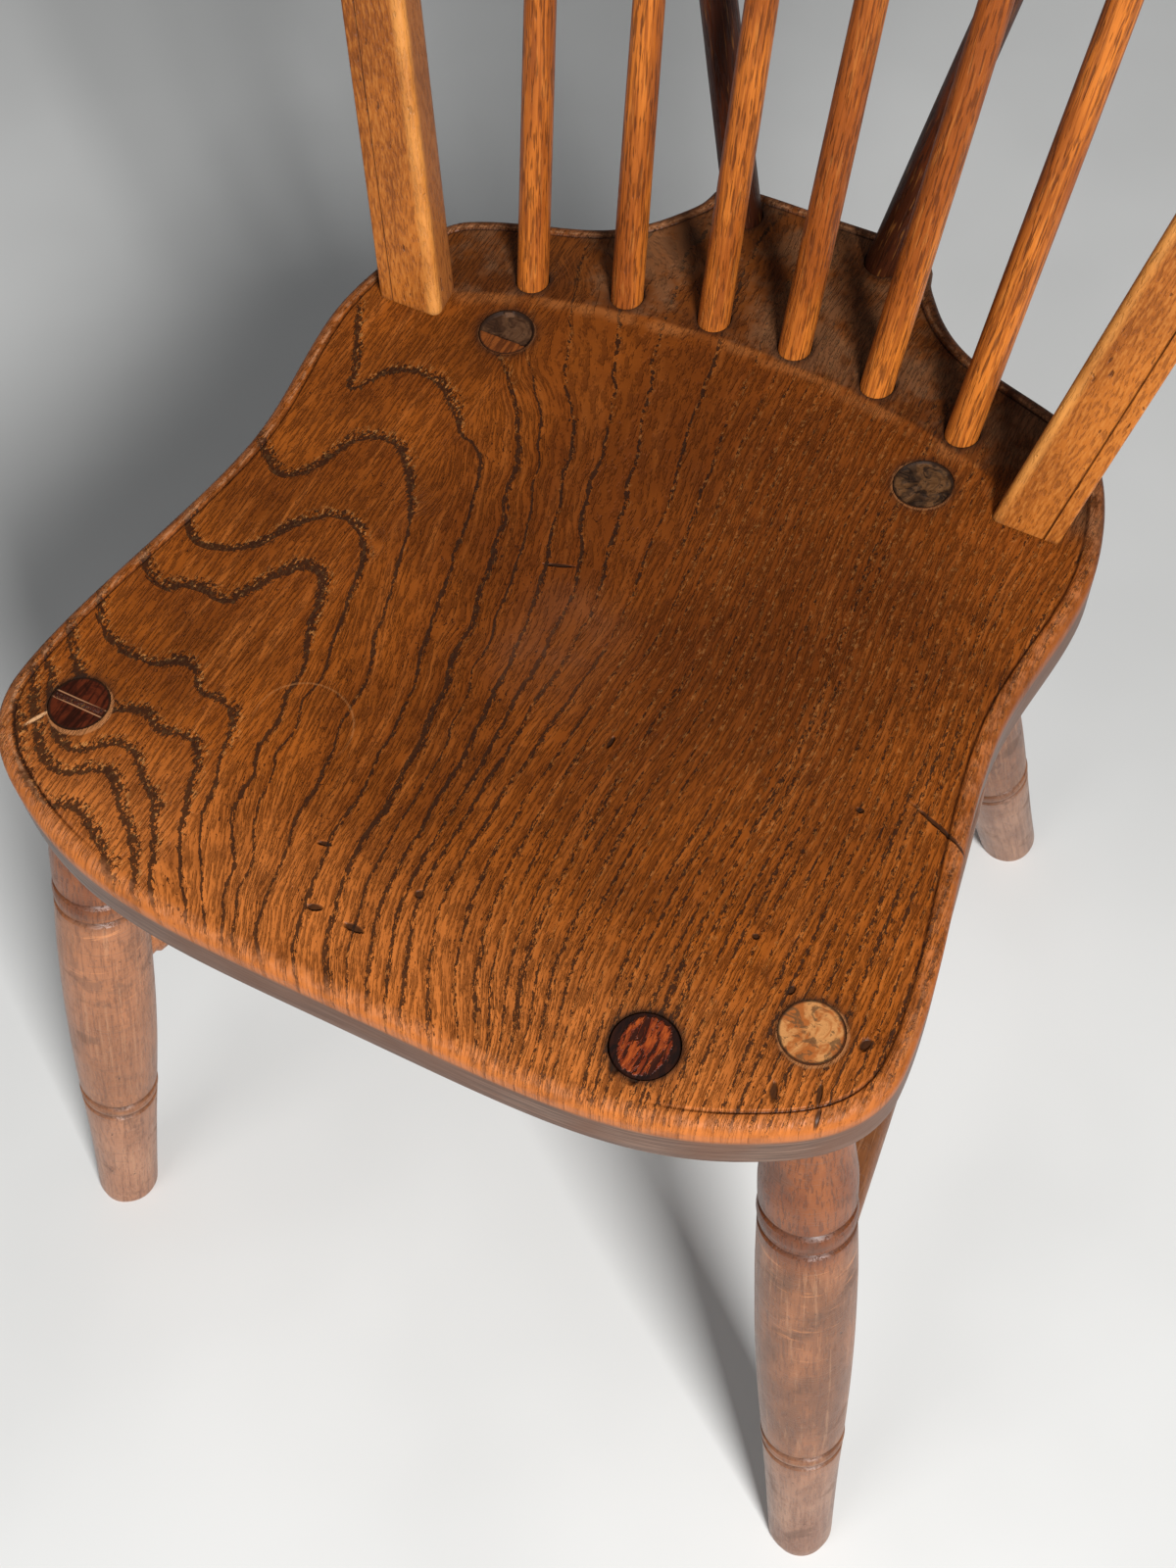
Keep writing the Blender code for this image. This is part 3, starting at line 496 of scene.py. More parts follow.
def leg_beech():
    """Turned legs: orange-brown above, greyer and paler towards the feet, scuffed all over."""
    f = Finish("leg_beech", 0.34, 0.36)
    here, grain, grime = f.here(), f.kept("grain", 1), f.kept("grime")
    height = f.part(here, 2)
    vase, foot = f.rise(height, 0.300, 0.325), f.rise(height, 0.150, 0.060)
    mottle = f.rise(f.drawn(grain, 40, 40, 16, 4.0, 0.6), 0.36, 0.64)
    streaks = f.drawn(grain, 420, 420, 12, 4.0, 0.7)
    strokes = f.rise(f.drawn(grain, 820, 820, 110, 2.0, 0.6), 0.54, 0.62)
    turning = f.drawn(grain, 40, 40, 900, 3.0, 0.7)
    scuffed = f.rise(f.cloud(here, 45, 4.0, 0.65), 0.56, 0.66)
    rubbed = f.rise(f.drawn(here, 30, 30, 260, 3.0, 0.7), 0.60, 0.68) * f.rise(height, 0.200, 0.290)
    knocks = f.rise(f.drawn(grain, 190, 190, 110, 3.0, 0.7), 0.70, 0.73)
    colour = f.coats(
        f.tint((150, 94, 57), (110, 66, 36), mottle),
        (f.tint((134, 72, 28), (104, 50, 18), mottle), vase * 0.92),
        (f.tint((164, 124, 100), (138, 96, 74), mottle), foot * 0.80),
        ((198, 130, 88), f.rise(f.part(here, 0), 0.0, -0.15) * (1.0 - vase) * 0.35),
        ((112, 70, 46), f.rise(streaks, 0.50, 0.66) * 0.55),
        ((190, 142, 106), f.rise(streaks, 0.46, 0.34) * (0.30 - vase * 0.24)),
        ((84, 46, 26), strokes * (0.28 + vase * 0.32)),
        ((112, 78, 60), f.rise(turning, 0.56, 0.66) * 0.30),
        ((92, 72, 62), scuffed * 0.40),
        ((214, 140, 88), rubbed * (1.0 - vase) * 0.6),
        ((58, 40, 32), knocks * 0.7),
        ((50, 26, 15), grime.math("POWER", 1.5) * 0.92))
    rough = 0.28 + scuffed * 0.14 + f.cloud(grain, 70, 2.0) * 0.12 + grime * 0.10
    relief = 1.0 - strokes * 0.4 - knocks - f.rise(turning, 0.50, 0.66) * 0.2
    return f.finish(colour, rough, (relief, 0.0005, 0.7), (f.cloud(grain, 100, 3.0), 0.0010, 0.25))


# Shaping

def flowing(stations, step=0.004):
    """Fills in between stations with a smooth line that does not overshoot them."""
    at = [s[0] for s in stations]
    size = [s[1] for s in stations]
    slope = [(b - a) / (d - c) for a, b, c, d in zip(size, size[1:], at, at[1:])]
    lean = [slope[0]] + [2 * p * q / (p + q) if p * q > 0 else 0.0
                         for p, q in zip(slope, slope[1:])] + [slope[-1]]
    made = []
    for i in range(len(at) - 1):
        run = at[i + 1] - at[i]
        parts = max(1, round(run / step))
        for k in range(parts):
            t = k / parts
            over = 3 * t ** 2 - 2 * t ** 3
            bent = (t ** 3 - 2 * t ** 2 + t) * lean[i] + (t ** 3 - t ** 2) * lean[i + 1]
            made.append((at[i] + t * run, (1 - over) * size[i] + over * size[i + 1] + bent * run))
    return made + [stations[-1]]


def eased(start, end, low, high, steps):
    """Pairs between two ends, at steps of (share of the way, share of the change in size)."""
    return [(start + way * (end - start), low + change * (high - low)) for way, change in steps]


def frame_of(start, end, side=Vector((1, 0, 0))):
    """Matrix that puts +Z on the line from start to end and +X at side."""
    up = (end - start).normalized()
    if up.cross(side).length < 0.01:
        side = Vector((0, -1, 0))
    back = up.cross(side).normalized()
    return Matrix.Translation(start) @ Matrix((back.cross(up), back, up)).transposed().to_4x4()


def show(name, data):
    """Object in the scene for a mesh, a lamp or a camera."""
    made = bpy.data.objects.new(name, data)
    bpy.context.scene.collection.objects.link(made)
    return made


def mesh_of(bm, name):
    """Turns a bmesh into a mesh and frees it."""
    mesh = bpy.data.meshes.new(name)
    bm.to_mesh(mesh)
    bm.free()
    return mesh


def cut(bm, place, normal, clear=False):
    return bmesh.ops.bisect_plane(bm, geom=bm.verts[:] + bm.edges[:] + bm.faces[:], dist=0.000001,
                                  plane_co=place, plane_no=normal, clear_outer=clear)["geom_cut"]


def of_kind(made, kind):
    return [e for e in made if isinstance(e, kind)]


def keep_values(bm, grime=None, from_end=0.0):
    """Stores each point's place in its timber, and how grimy it is, before the piece is placed."""
    grain = bm.verts.layers.float_vector.new("grain")
    dirt = bm.verts.layers.float.new("grime")
    for vert in bm.verts:
        vert[grain] = vert.co + Vector((0, 0, from_end))
        vert[dirt] = grime(vert.co) if grime else 0.0


def piece(bm, name, materials, node, sharp=32):
    """Object from a finished mesh, riding on the chair in place of a node's solids."""
    mesh = mesh_of(bm, name)
    mesh.transform(ONTO_FRAME)
    mesh.shade_smooth()
    mesh.set_sharp_from_angle(angle=math.radians(sharp))
    for material in materials:
        mesh.materials.append(material)
    made = show(name, mesh)
    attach(made, "root")
    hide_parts(node)


def spun(profile, facets):
    """Round bar turned from (height, radius) pairs, closed at both ends."""
    bm = bmesh.new()
    points = [(0.0, profile[0][0])] + [(r, z) for z, r in profile] + [(0.0, profile[-1][0])]
    line = [bm.verts.new((x, 0, z)) for x, z in points]
    edges = [bm.edges.new(pair) for pair in zip(line, line[1:])]
    bmesh.ops.spin(bm, geom=line + edges, cent=(0, 0, 0), axis=(0, 0, 1), angle=2 * math.pi,
                   steps=facets, use_merge=True)
    bmesh.ops.remove_doubles(bm, verts=bm.verts, dist=0.000002)
    bmesh.ops.recalc_face_normals(bm, faces=bm.faces)
    return bm


def roughened(bm, amount, scale, seed, stretch=0.25):
    """Leaves the small unevenness of hand work and wear."""
    bm.normal_update()
    for vert in bm.verts:
        at = Vector((vert.co.x, vert.co.y, vert.co.z * stretch)) * scale + Vector((seed, 0, 0))
        vert.co += vert.normal * noise.noise(at) * amount


def trimmed(bm, place, outwards):
    """Saws off what lies beyond a plane and closes the cut."""
    rim = of_kind(cut(bm, place, outwards, True), bmesh.types.BMEdge)
    return bmesh.ops.contextual_create(bm, geom=rim)["faces"]


# Seat

# right half of the seat's outline, front to tail: place, heading, handles before and after
SEAT_KNOTS = (
    (0.0, FRONT_Y, 0, 0.075, 0.075),
    (HALF_FRONT - 0.039, FRONT_Y + 0.0195, 27, 0.047, 0.016),
    (HALF_FRONT, WIDEST_Y, 90, 0.028, 0.045),
    (HALF_WAIST, 0.0, 90, 0.045, 0.025),
    (HALF_HIP, HIP_Y, 90, 0.025, 0.026),
    (HALF_HIP - 0.0290, SHOULDER_Y, 151, 0.019, 0.020),
    (HALF_TAIL + 0.0370, SHOULDER_Y + 0.0215, 155, 0.018, 0.012),
    (HALF_TAIL + 0.0100, TAIL_Y - 0.0300, 126, 0.012, 0.010),
    (HALF_TAIL, TAIL_Y - 0.0105, 97, 0.008, 0.0045),
    (HALF_TAIL - 0.0080, TAIL_Y - 0.0010, 172, 0.0050, 0.014),
    (0.0, TAIL_Y, 180, 0.020, 0.020),
)
FINENESS = 40  # steps between two knots of the outline
SEAT_CELLS = (210, 220)  # across and lengthways, in the flat of the top
FLAT_INSET = 0.0102  # from the outline to the flat of the top
LINE_WHOLE, LINE_FADE = 0.150, 0.035  # from the front's middle; nearer, the scribed line fades


def scribed_share(x, y):
    """How much of the scribed line is left at a place; it has worn away along the front."""
    return 1.0 - min(max((LINE_WHOLE - abs(x)) / LINE_FADE, 0.0), 1.0) if y < -0.1 else 1.0


def outline(inset):
    """Closed outline moved inwards, counter-clockwise from the front's middle."""
    def moved(knot, by):
        x, y, heading = knot[:3]
        turn = math.radians(heading + 90)
        return Vector((x + by * math.cos(turn), y + by * math.sin(turn), 0))
    half = []
    for a, b in zip(SEAT_KNOTS, SEAT_KNOTS[1:]):
        p, q = moved(a, inset), moved(b, inset)
        ratio = (q - p).length / (moved(b, 0) - moved(a, 0)).length
        out, into = math.radians(a[2]), math.radians(b[2])
        first = p + ratio * a[4] * Vector((math.cos(out), math.sin(out), 0))
        last = q - ratio * b[3] * Vector((math.cos(into), math.sin(into), 0))
        half += interpolate_bezier(p, first, last, q, FINENESS + 1)[:-1]
    half.append(moved(SEAT_KNOTS[-1], inset))
    other = [Vector((-v.x, v.y, 0)) for v in reversed(half[1:-1])]
    loop = np.array([(v.x, v.y) for v in half + other])
    return loop + fuller(*loop.T)


def fuller(x, y):
    """The plank was sawn a little wider on its right and further out at the left of its front."""
    right = np.clip(x / HALF_FRONT, 0, 1)
    front = np.clip((-0.100 - y) / 0.120, 0, 1)
    leftward = np.clip(0.55 - 0.45 * x / HALF_FRONT, 0, 1)
    return np.stack([0.0022 * right ** 2, -0.0040 * leftward * front ** 2], 1)


def at_places(loop, places):
    """Points of a closed outline at places counted in its steps."""
    low = np.floor(places).astype(int)
    share = (places - low)[:, None]
    count = len(loop)
    return loop[low % count] * (1 - share) + loop[(low + 1) % count] * share


def evenly(loop, start, end, parts):
    """Places from start to end along an outline that are the same distance apart."""
    places = np.linspace(start, end, 1500)
    steps = np.linalg.norm(np.diff(at_places(loop, places), axis=0), axis=1)
    way = np.concatenate([[0], np.cumsum(steps)])
    return np.interp(np.linspace(0, way[-1], parts + 1), way, places)


def dish(x, y):
    """How far the sitting surface has been hollowed at a place."""
    middle = DISH_BACK - DISH_LENGTH / 2
    reach = ((np.abs(2 * x / DISH_WIDTH) ** 2.4 + np.abs(2 * (y - middle) / DISH_LENGTH) ** 2.4)
             ** (1 / 2.4))
    return DISH_DEPTH * np.where(reach < 1, (1 - reach * reach) ** 2, 0.0)


def through(traced, asked):
    """Smooth surface through traced (x, y, value) places, read at the places asked for."""
    def bend(square):
        return 0.5 * square * np.log(np.maximum(square, 1e-12))
    traced = np.array(traced, float)
    at, value = traced[:, :2] * 10, traced[:, 2]
    count = len(at)
    near = bend(((at[:, None] - at[None]) ** 2).sum(-1)) + 2e-4 * np.eye(count)
    flat = np.c_[np.ones(count), at]
    whole = np.block([[near, flat], [flat.T, np.zeros((3, 3))]])
    weight = np.linalg.solve(whole, np.r_[value, 0, 0, 0])
    made = np.zeros(len(asked))
    for first in range(0, len(asked), 5000):
        place = asked[first:first + 5000] * 10
        far = bend(((place[:, None] - at[None]) ** 2).sum(-1))
        made[first:first + 5000] = far @ weight[:-3] + weight[-3] + place @ weight[-2:]
    return made


def plank_figure(places):
    """Ring number, distance between rings and distance across the fibres, at places on the plan."""
    rings, fibres = [], []
    for number, traced in RINGS.items():
        way = [(x / 1000, y / 1000 + TRACED_FROM) for x, y in traced]
        rings += [(x, y, number) for x, y in way]
        if number >= 6:
            top = {6: -0.040, 7: 0.0, 8: 0.030}.get(number, 1.0)
            steep = sorted((y, x) for x, y in way if y < top)
            across = float(np.interp(-0.126, [y for y, _ in steep], [x for _, x in steep]))
            fibres += [(x, y, across) for y, x in steep]
    for across, traced in ((-0.190, ((-190, -220), (-190, 0), (-186, 120), (-180, 190))),
                           (-0.150, ((-150, -210), (-150, -100), (-150, 0), (-156, 70), (-160, 150))),
                           (-0.115, ((-115, -200), (-115, -60), (-118, 20), (-130, 80), (-142, 150))),
                           (-0.081, ((-104, 0), (-112, 40), (-122, 90), (-130, 150))),
                           (-0.042, ((-88, 52), (-98, 80), (-108, 130), (-112, 180)))):
        fibres += [(x / 1000, y / 1000, across) for x, y in traced]
    step = 0.0005
    nearby = np.concatenate([places, places + (step, 0), places + (0, step)])
    ring, rightward, backward = np.split(through(rings, nearby), 3)
    spacing = step / np.hypot(rightward - ring, backward - ring)
    return ring, np.clip(spacing, 0.001, 0.300), through(fibres, places)


def seat_blank():
    """The shaped plank before it is bored."""
    cells = SEAT_CELLS
    rim = outline(FLAT_INSET)
    corners = [FINENESS * share for share in (-1.5, 1.5, 4.5, 15.5, 18.5)]
    front = evenly(rim, corners[0], corners[1], cells[0])
    right = evenly(rim, corners[1], corners[2], cells[1])
    back = evenly(rim, corners[3], corners[2], cells[0])
    left = evenly(rim, corners[4], corners[3], cells[1])

    bm = bmesh.new()
    bmesh.ops.create_grid(bm, x_segments=cells[0], y_segments=cells[1], size=1.0)
    flat = np.array([v.co[:2] for v in bm.verts])
    column = np.rint((flat[:, 0] + 1) / 2 * cells[0]).astype(int)
    row = np.rint((flat[:, 1] + 1) / 2 * cells[1]).astype(int)
    s, t = (column / cells[0])[:, None], (row / cells[1])[:, None]
    lines = [at_places(rim, places) for places in (front, right, back, left)]
    near, east, far, west = lines[0][column], lines[1][row], lines[2][column], lines[3][row]
    corner = [lines[0][0], lines[0][-1], lines[2][0], lines[2][-1]]
    spread = ((1 - t) * near + t * far + (1 - s) * west + s * east
              - (1 - s) * (1 - t) * corner[0] - s * (1 - t) * corner[1]
              - (1 - s) * t * corner[2] - s * t * corner[3])
    place = {}
    for vert, (x, y), i, j in zip(bm.verts, spread, column, row):
        vert.co = (x, y, SEAT_HEIGHT)
        if j == 0:
            place[vert] = front[i]
        elif i == cells[0]:
            place[vert] = right[j]
        elif j == cells[1]:
            place[vert] = back[i]
        elif i == 0:
            place[vert] = left[j]

    # from the flat top outwards over the scribed line and the rounded edge, and down the side
    half = LINE_WIDTH / 2
    steps = [(LINE_INSET + half * share, SEAT_HEIGHT, depth)
             for share, depth in ((1.5, 0), (1.0, 0.05), (0.7, 0.35), (0.35, 0.85), (0.0, 1.0),
                                  (-0.35, 0.85), (-0.7, 0.35), (-1.0, 0.05), (-1.35, 0))]
    steps += [(TOP_ROUND * (1 - math.sin(a)), SEAT_HEIGHT - TOP_ROUND * (1 - math.cos(a)), 0)
              for a in (math.radians(11.25 * k) for k in range(9))]
    low = SEAT_UNDERSIDE + BOTTOM_ROUND
    steps += [(0.0, SEAT_HEIGHT - TOP_ROUND + share * (low - SEAT_HEIGHT + TOP_ROUND), 0)
              for share in (0.2, 0.4, 0.6, 0.8, 1.0)]
    steps += [(BOTTOM_ROUND * (1 - math.cos(a)), low - BOTTOM_ROUND * math.sin(a), 0)
              for a in (math.radians(22.5 * k) for k in (1, 2, 3, 4))]
    whole = len(rim)
    for inset, height, depth in steps:
        loop = outline(inset)
        open_edges = [e for e in bm.edges if e.is_boundary]
        made = bmesh.ops.extrude_edge_only(bm, edges=open_edges)["geom"]
        fresh = set(of_kind(made, bmesh.types.BMVert))
        for vert in fresh:
            old = next(e.other_vert(vert) for e in vert.link_edges if e.other_vert(vert) not in fresh)
            place[vert] = place[old]
        order = list(fresh)
        where = at_places(loop, np.array([place[v] % whole for v in order]))
        for vert, (x, y) in zip(order, where):
            vert.co = (x, y, height - LINE_DEPTH * depth * scribed_share(x, y))
    bottom = [e for e in bm.edges if e.is_boundary]
    bmesh.ops.contextual_create(bm, geom=bottom)
    bmesh.ops.recalc_face_normals(bm, faces=bm.faces)
    for vert in bm.verts:
        if vert.co.z > SEAT_HEIGHT - 0.0015:
            vert.co.z -= float(dish(vert.co.x, vert.co.y))
        if vert.co.z > SEAT_UNDERSIDE + 0.006:
            wave = noise.noise(vert.co * 17) * 0.00016 + noise.noise(vert.co * 60) * 0.00006
            vert.co.z -= 0.0002 + wave
    return bm


def bored(blank, sockets):
    """Bores the sockets out of the plank."""
    plank = show("seat_blank", mesh_of(blank, "seat_blank"))
    borer = show("seat_sockets", mesh_of(sockets, "seat_sockets"))
    bore = plank.modifiers.new("bore", "BOOLEAN")
    bore.operation = "DIFFERENCE"
    bore.solver = "MANIFOLD"
    bore.object = borer
    done = plank.evaluated_get(bpy.context.evaluated_depsgraph_get())
    bm = bmesh.new()
    bm.from_mesh(done.to_mesh())
    done.to_mesh_clear()
    for spare in (plank, borer):
        bpy.data.objects.remove(spare)
    return bm


def mark_seat(bm, rims):
    """Stores the figure, the distance in from the edge, the scribed line and the grime."""
    places = np.array([v.co[:2] for v in bm.verts])
    ring, spacing, across = plank_figure(places)
    border = outline(0.0)
    tree = KDTree(len(border))
    for i, (x, y) in enumerate(border):
        tree.insert((x, y, 0), i)
    tree.balance()
    layers = bm.verts.layers
    grain = layers.float_vector.new("grain")
    number, apart, edge, scribed, grime = (
        layers.float.new(name) for name in ("ring_number", "spacing", "edge", "scribed", "grime"))
    for vert, r, between, a in zip(bm.verts, ring, spacing, across):
        x, y, z = vert.co
        inward = tree.find((x, y, 0))[2]
        vert[grain] = (a, y, z)
        vert[number] = r + 2.0
        vert[apart] = between
        vert[edge] = inward
        top = scribed_share(x, y) if z > SEAT_HEIGHT - 0.004 else 0.0
        vert[scribed] = top * max(0.0, 1 - abs(inward - LINE_INSET) / (LINE_WIDTH * 0.5))
        near = min(max(math.hypot(x - cx, y - cy) - radius, 0.0) for cx, cy, radius in rims)
        vert[grime] = math.exp(-near / 0.0020) if z > SEAT_HEIGHT - 0.02 else 0.0


# Legs and stretchers

LEG_TENON, LEG_NECK, LEG_VASE = 0.0248, 0.0316, 0.0408
LEG_BODY, LEG_ANKLE, LEG_FOOT = 0.0448, 0.0400, 0.0330
UPPER_GROOVE, UPPER_BEAD, LOWER_GROOVE, LOWER_BEAD = 0.1245, 0.0145, 0.3300, 0.0113
GROOVE_WIDTH, GROOVE_DEPTH, FOOT_ROUND = 0.0050, 0.0025, 0.003
TURNED_APART = {("front", "right"): (-0.0085, -0.003), ("front", "left"): (0.0015, -0.003),
                ("back", "left"): (0.0, 0.0045), ("back", "right"): (0.0, 0.0045)}


# a leg's axis on the seat, on the right, and how far out and back its foot is from there
LEG_TOP = {"front": (HALF_FRONT - 0.034, FRONT_Y + 0.0645),
           "back": (HALF_HIP - 0.0801, SHOULDER_Y - 0.056)}
LEG_SPLAY = {"front": (0.0525, -0.0735), "back": (0.0589, 0.1121)}


def leg_ends(side, place):
    """Top of the leg's axis on the seat and its foot on the floor."""
    (x, y), (out, back) = LEG_TOP[place], LEG_SPLAY[place]
    return Vector((side * x, y, SEAT_HEIGHT)), Vector((side * (x + out), y + back, 0))


def groove(at, radius):
    half = GROOVE_WIDTH / 2
    return [(at + half * k / 5, radius - GROOVE_DEPTH * math.cos(math.pi * k / 10) ** 1.3)
            for k in range(-5, 6)]


def bead(start, end, radius, proud):
    return [(start + (end - start) * k / 6, radius + proud * math.sin(math.pi * k / 6))
            for k in range(1, 6)]


def leg_profile(length, upper_start, lower_start):
    """(distance from the top, radius) pairs down the leg, and the middles of its grooves."""
    vase, body = LEG_VASE / 2, LEG_BODY / 2
    neck, ankle = LEG_NECK / 2, LEG_ANKLE / 2
    tenon, foot = LEG_TENON / 2, LEG_FOOT / 2
    half = GROOVE_WIDTH / 2
    thick = SEAT_HEIGHT - SEAT_UNDERSIDE
    upper_end, lower_end = upper_start + UPPER_BEAD, lower_start + LOWER_BEAD
    grooves = (upper_start, upper_end, lower_start, lower_end)
    down = [(-0.012, tenon), (0.0, tenon)]
    swelling = ((0.28, 0.12), (0.48, 0.38), (0.66, 0.74), (0.80, 0.98), (0.92, 1.0))
    down += flowing([(thick, neck)] + eased(thick, upper_start, neck, vase, swelling)
                    + [(upper_start - half, vase - 0.0004)])[:-1]
    down += groove(upper_start, vase) + bead(upper_start + half, upper_end - half, vase, 0.0006)
    down += groove(upper_end, vase + 0.0004)
    barrel = ((0.08, 0.45), (0.24, 0.86), (0.50, 1.0), (0.70, 0.80), (0.88, 0.35))
    down += flowing([(upper_end + half, vase + 0.0004)]
                    + eased(upper_end, lower_start, vase, body, barrel)
                    + [(lower_start - half, vase)])[1:-1]
    down += groove(lower_start, vase) + bead(lower_start + half, lower_end - half, ankle, 0.0006)
    down += groove(lower_end, ankle)
    taper = ((0.22, 0.72), (0.45, 0.46), (0.72, 0.20))
    down += flowing([(lower_end + half, ankle)] + eased(lower_end, length, foot, ankle, taper)
                    + [(length - FOOT_ROUND, foot)])[1:]
    down += [(length - 0.001, foot - FOOT_ROUND * 0.15), (length, foot - FOOT_ROUND * 0.45),
             (length + 0.012, foot - FOOT_ROUND * 0.45)]
    return down, grooves


def end_grain(bm, end, frame, from_end):
    """Gives the leg's upper end rings of faces, each point with its own place in the timber."""
    grain = bm.verts.layers.float_vector["grain"]
    middle = end.calc_center_median()
    rim = list(end.edges)
    bmesh.ops.delete(bm, geom=[end], context="FACES_ONLY")
    reach = 1.0
    for share in (0.97, 0.90, 0.81, 0.72, 0.63, 0.54, 0.45, 0.36, 0.27, 0.18, 0.09):
        made = bmesh.ops.extrude_edge_only(bm, edges=rim)["geom"]
        for face in of_kind(made, bmesh.types.BMFace):
            face.material_index = 1
        rim = [e for e in of_kind(made, bmesh.types.BMEdge) if e.is_boundary]
        for vert in {v for e in rim for v in e.verts}:
            vert.co = middle + (vert.co - middle) * (share / reach)
        reach = share
    bmesh.ops.contextual_create(bm, geom=rim)["faces"][0].material_index = 1
    back = frame.inverted()
    for vert in {v for f in bm.faces if f.material_index == 1 for v in f.verts}:
        vert[grain] = back @ vert.co + Vector((0, 0, from_end))


# width of the worn part of an end, and how far it has sunk where it is split and where it is rough
END_WORN_WIDE, SPLIT_SUNK, ROUGH_SUNK = 0.0242, 0.0017, 0.0007


def worn_end(bm, top, split):
    """Wears the leg's upper end down; a split one has lost the half behind its split."""
    for vert in {v for f in bm.faces if f.material_index == 1 for v in f.verts}:
        at = vert.co - top
        if math.hypot(at.x, at.y) > END_WORN_WIDE / 2:
            continue
        if split:
            fall = min(max((at.y + 0.0036 + noise.noise(at * 250) * 0.0008) / 0.0012, 0.0), 1.0)
            vert.co.z -= SPLIT_SUNK * fall * fall * (3 - 2 * fall) + noise.noise(at * 300) * 0.0004 * fall
        else:
            vert.co.z -= ROUGH_SUNK + noise.noise(at * 260) * 0.0008 + noise.noise(at * 700) * 0.0003
    bm.normal_update()


def make_leg(place, word, side, materials):
    top, foot = leg_ends(side, place)
    front = place == "front"
    length = (top - foot).length
    higher, lower = TURNED_APART[place, word]
    down, grooves = leg_profile(length, UPPER_GROOVE + higher, LOWER_GROOVE + lower)
    bm = spun([(length - d, r) for d, r in reversed(down)], 72)
    def grime(at):
        down = length - at.z
        depth = min(abs(down - g) for g in grooves)
        between = any(a < down < b for a, b in (grooves[:2], grooves[2:]))
        return max(math.exp(-(depth / 0.0025) ** 2), 0.30 if between else 0.0)
    from_end = 0.7 * (side + (3 if front else 6))
    keep_values(bm, grime, from_end)
    roughened(bm, 0.0003, 45, 3 * side + (7 if front else 0))
    frame = frame_of(foot, top)
    bmesh.ops.transform(bm, matrix=frame, verts=bm.verts)
    trimmed(bm, (0, 0, 0), (0, 0, -1))
    end = trimmed(bm, (0, 0, SEAT_HEIGHT - CLEARANCE), (0, 0, 1))[0]
    end_grain(bm, end, frame, from_end)
    if not front:
        worn_end(bm, top, split=side < 0)
    name = "leg_%s_%s" % (place, word)
    piece(bm, "turned_" + name, materials, name)


def stretcher_profile(length, tenon, end, shoulder, middle):
    """Pairs for a stretcher from the length of its tenon and its widths."""
    low = [(0.0, end / 2), (tenon, end / 2), (tenon + 0.002, shoulder / 2 * 0.92)]
    swell = eased(tenon + 0.012, length / 2, shoulder / 2, middle / 2, ((0, 0), (0.4, 0.5), (0.75, 0.88)))
    mirrored = [(length - h, r) for h, r in reversed(swell)]
    return low + flowing(swell + [(length / 2, middle / 2)] + mirrored, 0.008) \
        + [(length - h, r) for h, r in reversed(low)]


def make_bar(name, node, profile, start, end, material, seed, facets=40, wear=0.00025):
    bm = spun(profile, facets)
    keep_values(bm, None, 0.7 * seed)
    roughened(bm, wear, 40, seed)
    bmesh.ops.transform(bm, matrix=frame_of(start, end), verts=bm.verts)
    piece(bm, name, [material], node)


# heights of the side stretchers at both ends, depth of their sockets, and for each kind of bar
# the length of its tenon, then its widths at the tenon, at the shoulder and in the middle
SIDE_BAR_FRONT, SIDE_BAR_BACK, SIDE_BAR_IN_LEG, CROSS_BAR_IN_SIDE = 0.230, 0.170, 0.016, 0.008
SIDE_BAR = (0.021, 0.015, 0.020, 0.025)
CROSS_BAR = (0.011, 0.0125, 0.0175, 0.022)


def make_stretchers(beech):
    inside = LEG_BODY / 2 - SIDE_BAR_IN_LEG
    middles = []
    for word, side in (("left", -1), ("right", 1)):
        front_top, front_foot = leg_ends(side, "front")
        back_top, back_foot = leg_ends(side, "back")
        front = front_foot.lerp(front_top, SIDE_BAR_FRONT / SEAT_HEIGHT)
        back = back_foot.lerp(back_top, SIDE_BAR_BACK / SEAT_HEIGHT)
        along = (back - front).normalized()
        start, end = front + along * inside, back - along * inside
        profile = stretcher_profile((end - start).length, *SIDE_BAR)
        make_bar("turned_side_stretcher_" + word, "side_stretcher_" + word, profile, start, end,
                 beech, side + 4)
        middles.append(start.lerp(end, 0.5))
    reach = Vector((SIDE_BAR[-1] / 2 - CROSS_BAR_IN_SIDE, 0, 0))
    start, end = middles[0] + reach, middles[1] - reach
    profile = stretcher_profile((end - start).length, *CROSS_BAR)
    make_bar("turned_cross_stretcher", "cross_stretcher", profile, start, end, beech, 9)


# Back

STICK_SEAT_X = (0.0199, 0.0617, 0.1055)
STICK_RAIL_X = (0.0270, 0.0860, 0.1370)
STICK_LOW, STICK_HIGH, STICK_ROW_FALL = 0.0148, 0.0118, 0.0145
BRACE_SEAT_X, BRACE_RAIL_X, BRACE_LOW, BRACE_HIGH = 0.0358, 0.1160, 0.0178, 0.0122
SOCKET_DEPTH, SOCKET_GAP = 0.018, 0.00045
BORE_ABOVE = 0.012  # how far the bores for legs, sticks and braces go on above the seat
POST_SEAT_X, POST_RAIL_X = 0.1495, 0.2387
STICK_SET_FORWARD, BRACE_SET_FORWARD, POST_SET_FORWARD = 0.0081, 0.0188, 0.0510
POST_WIDTH, POST_DEPTH, WORN_EDGE = 0.0298, 0.0205, 0.0062
POST_LINE_INSET, POST_LINE_WIDTH, POST_LINE_DEPTH = 0.0064, 0.0012, 0.0008
POST_INNER_ROUND, POST_OUTER_ROUND, POST_BACK_ROUND = 0.0036, 0.0012, 0.0055
POST_EXCESS = 0.020  # left on at both ends until it is sawn off
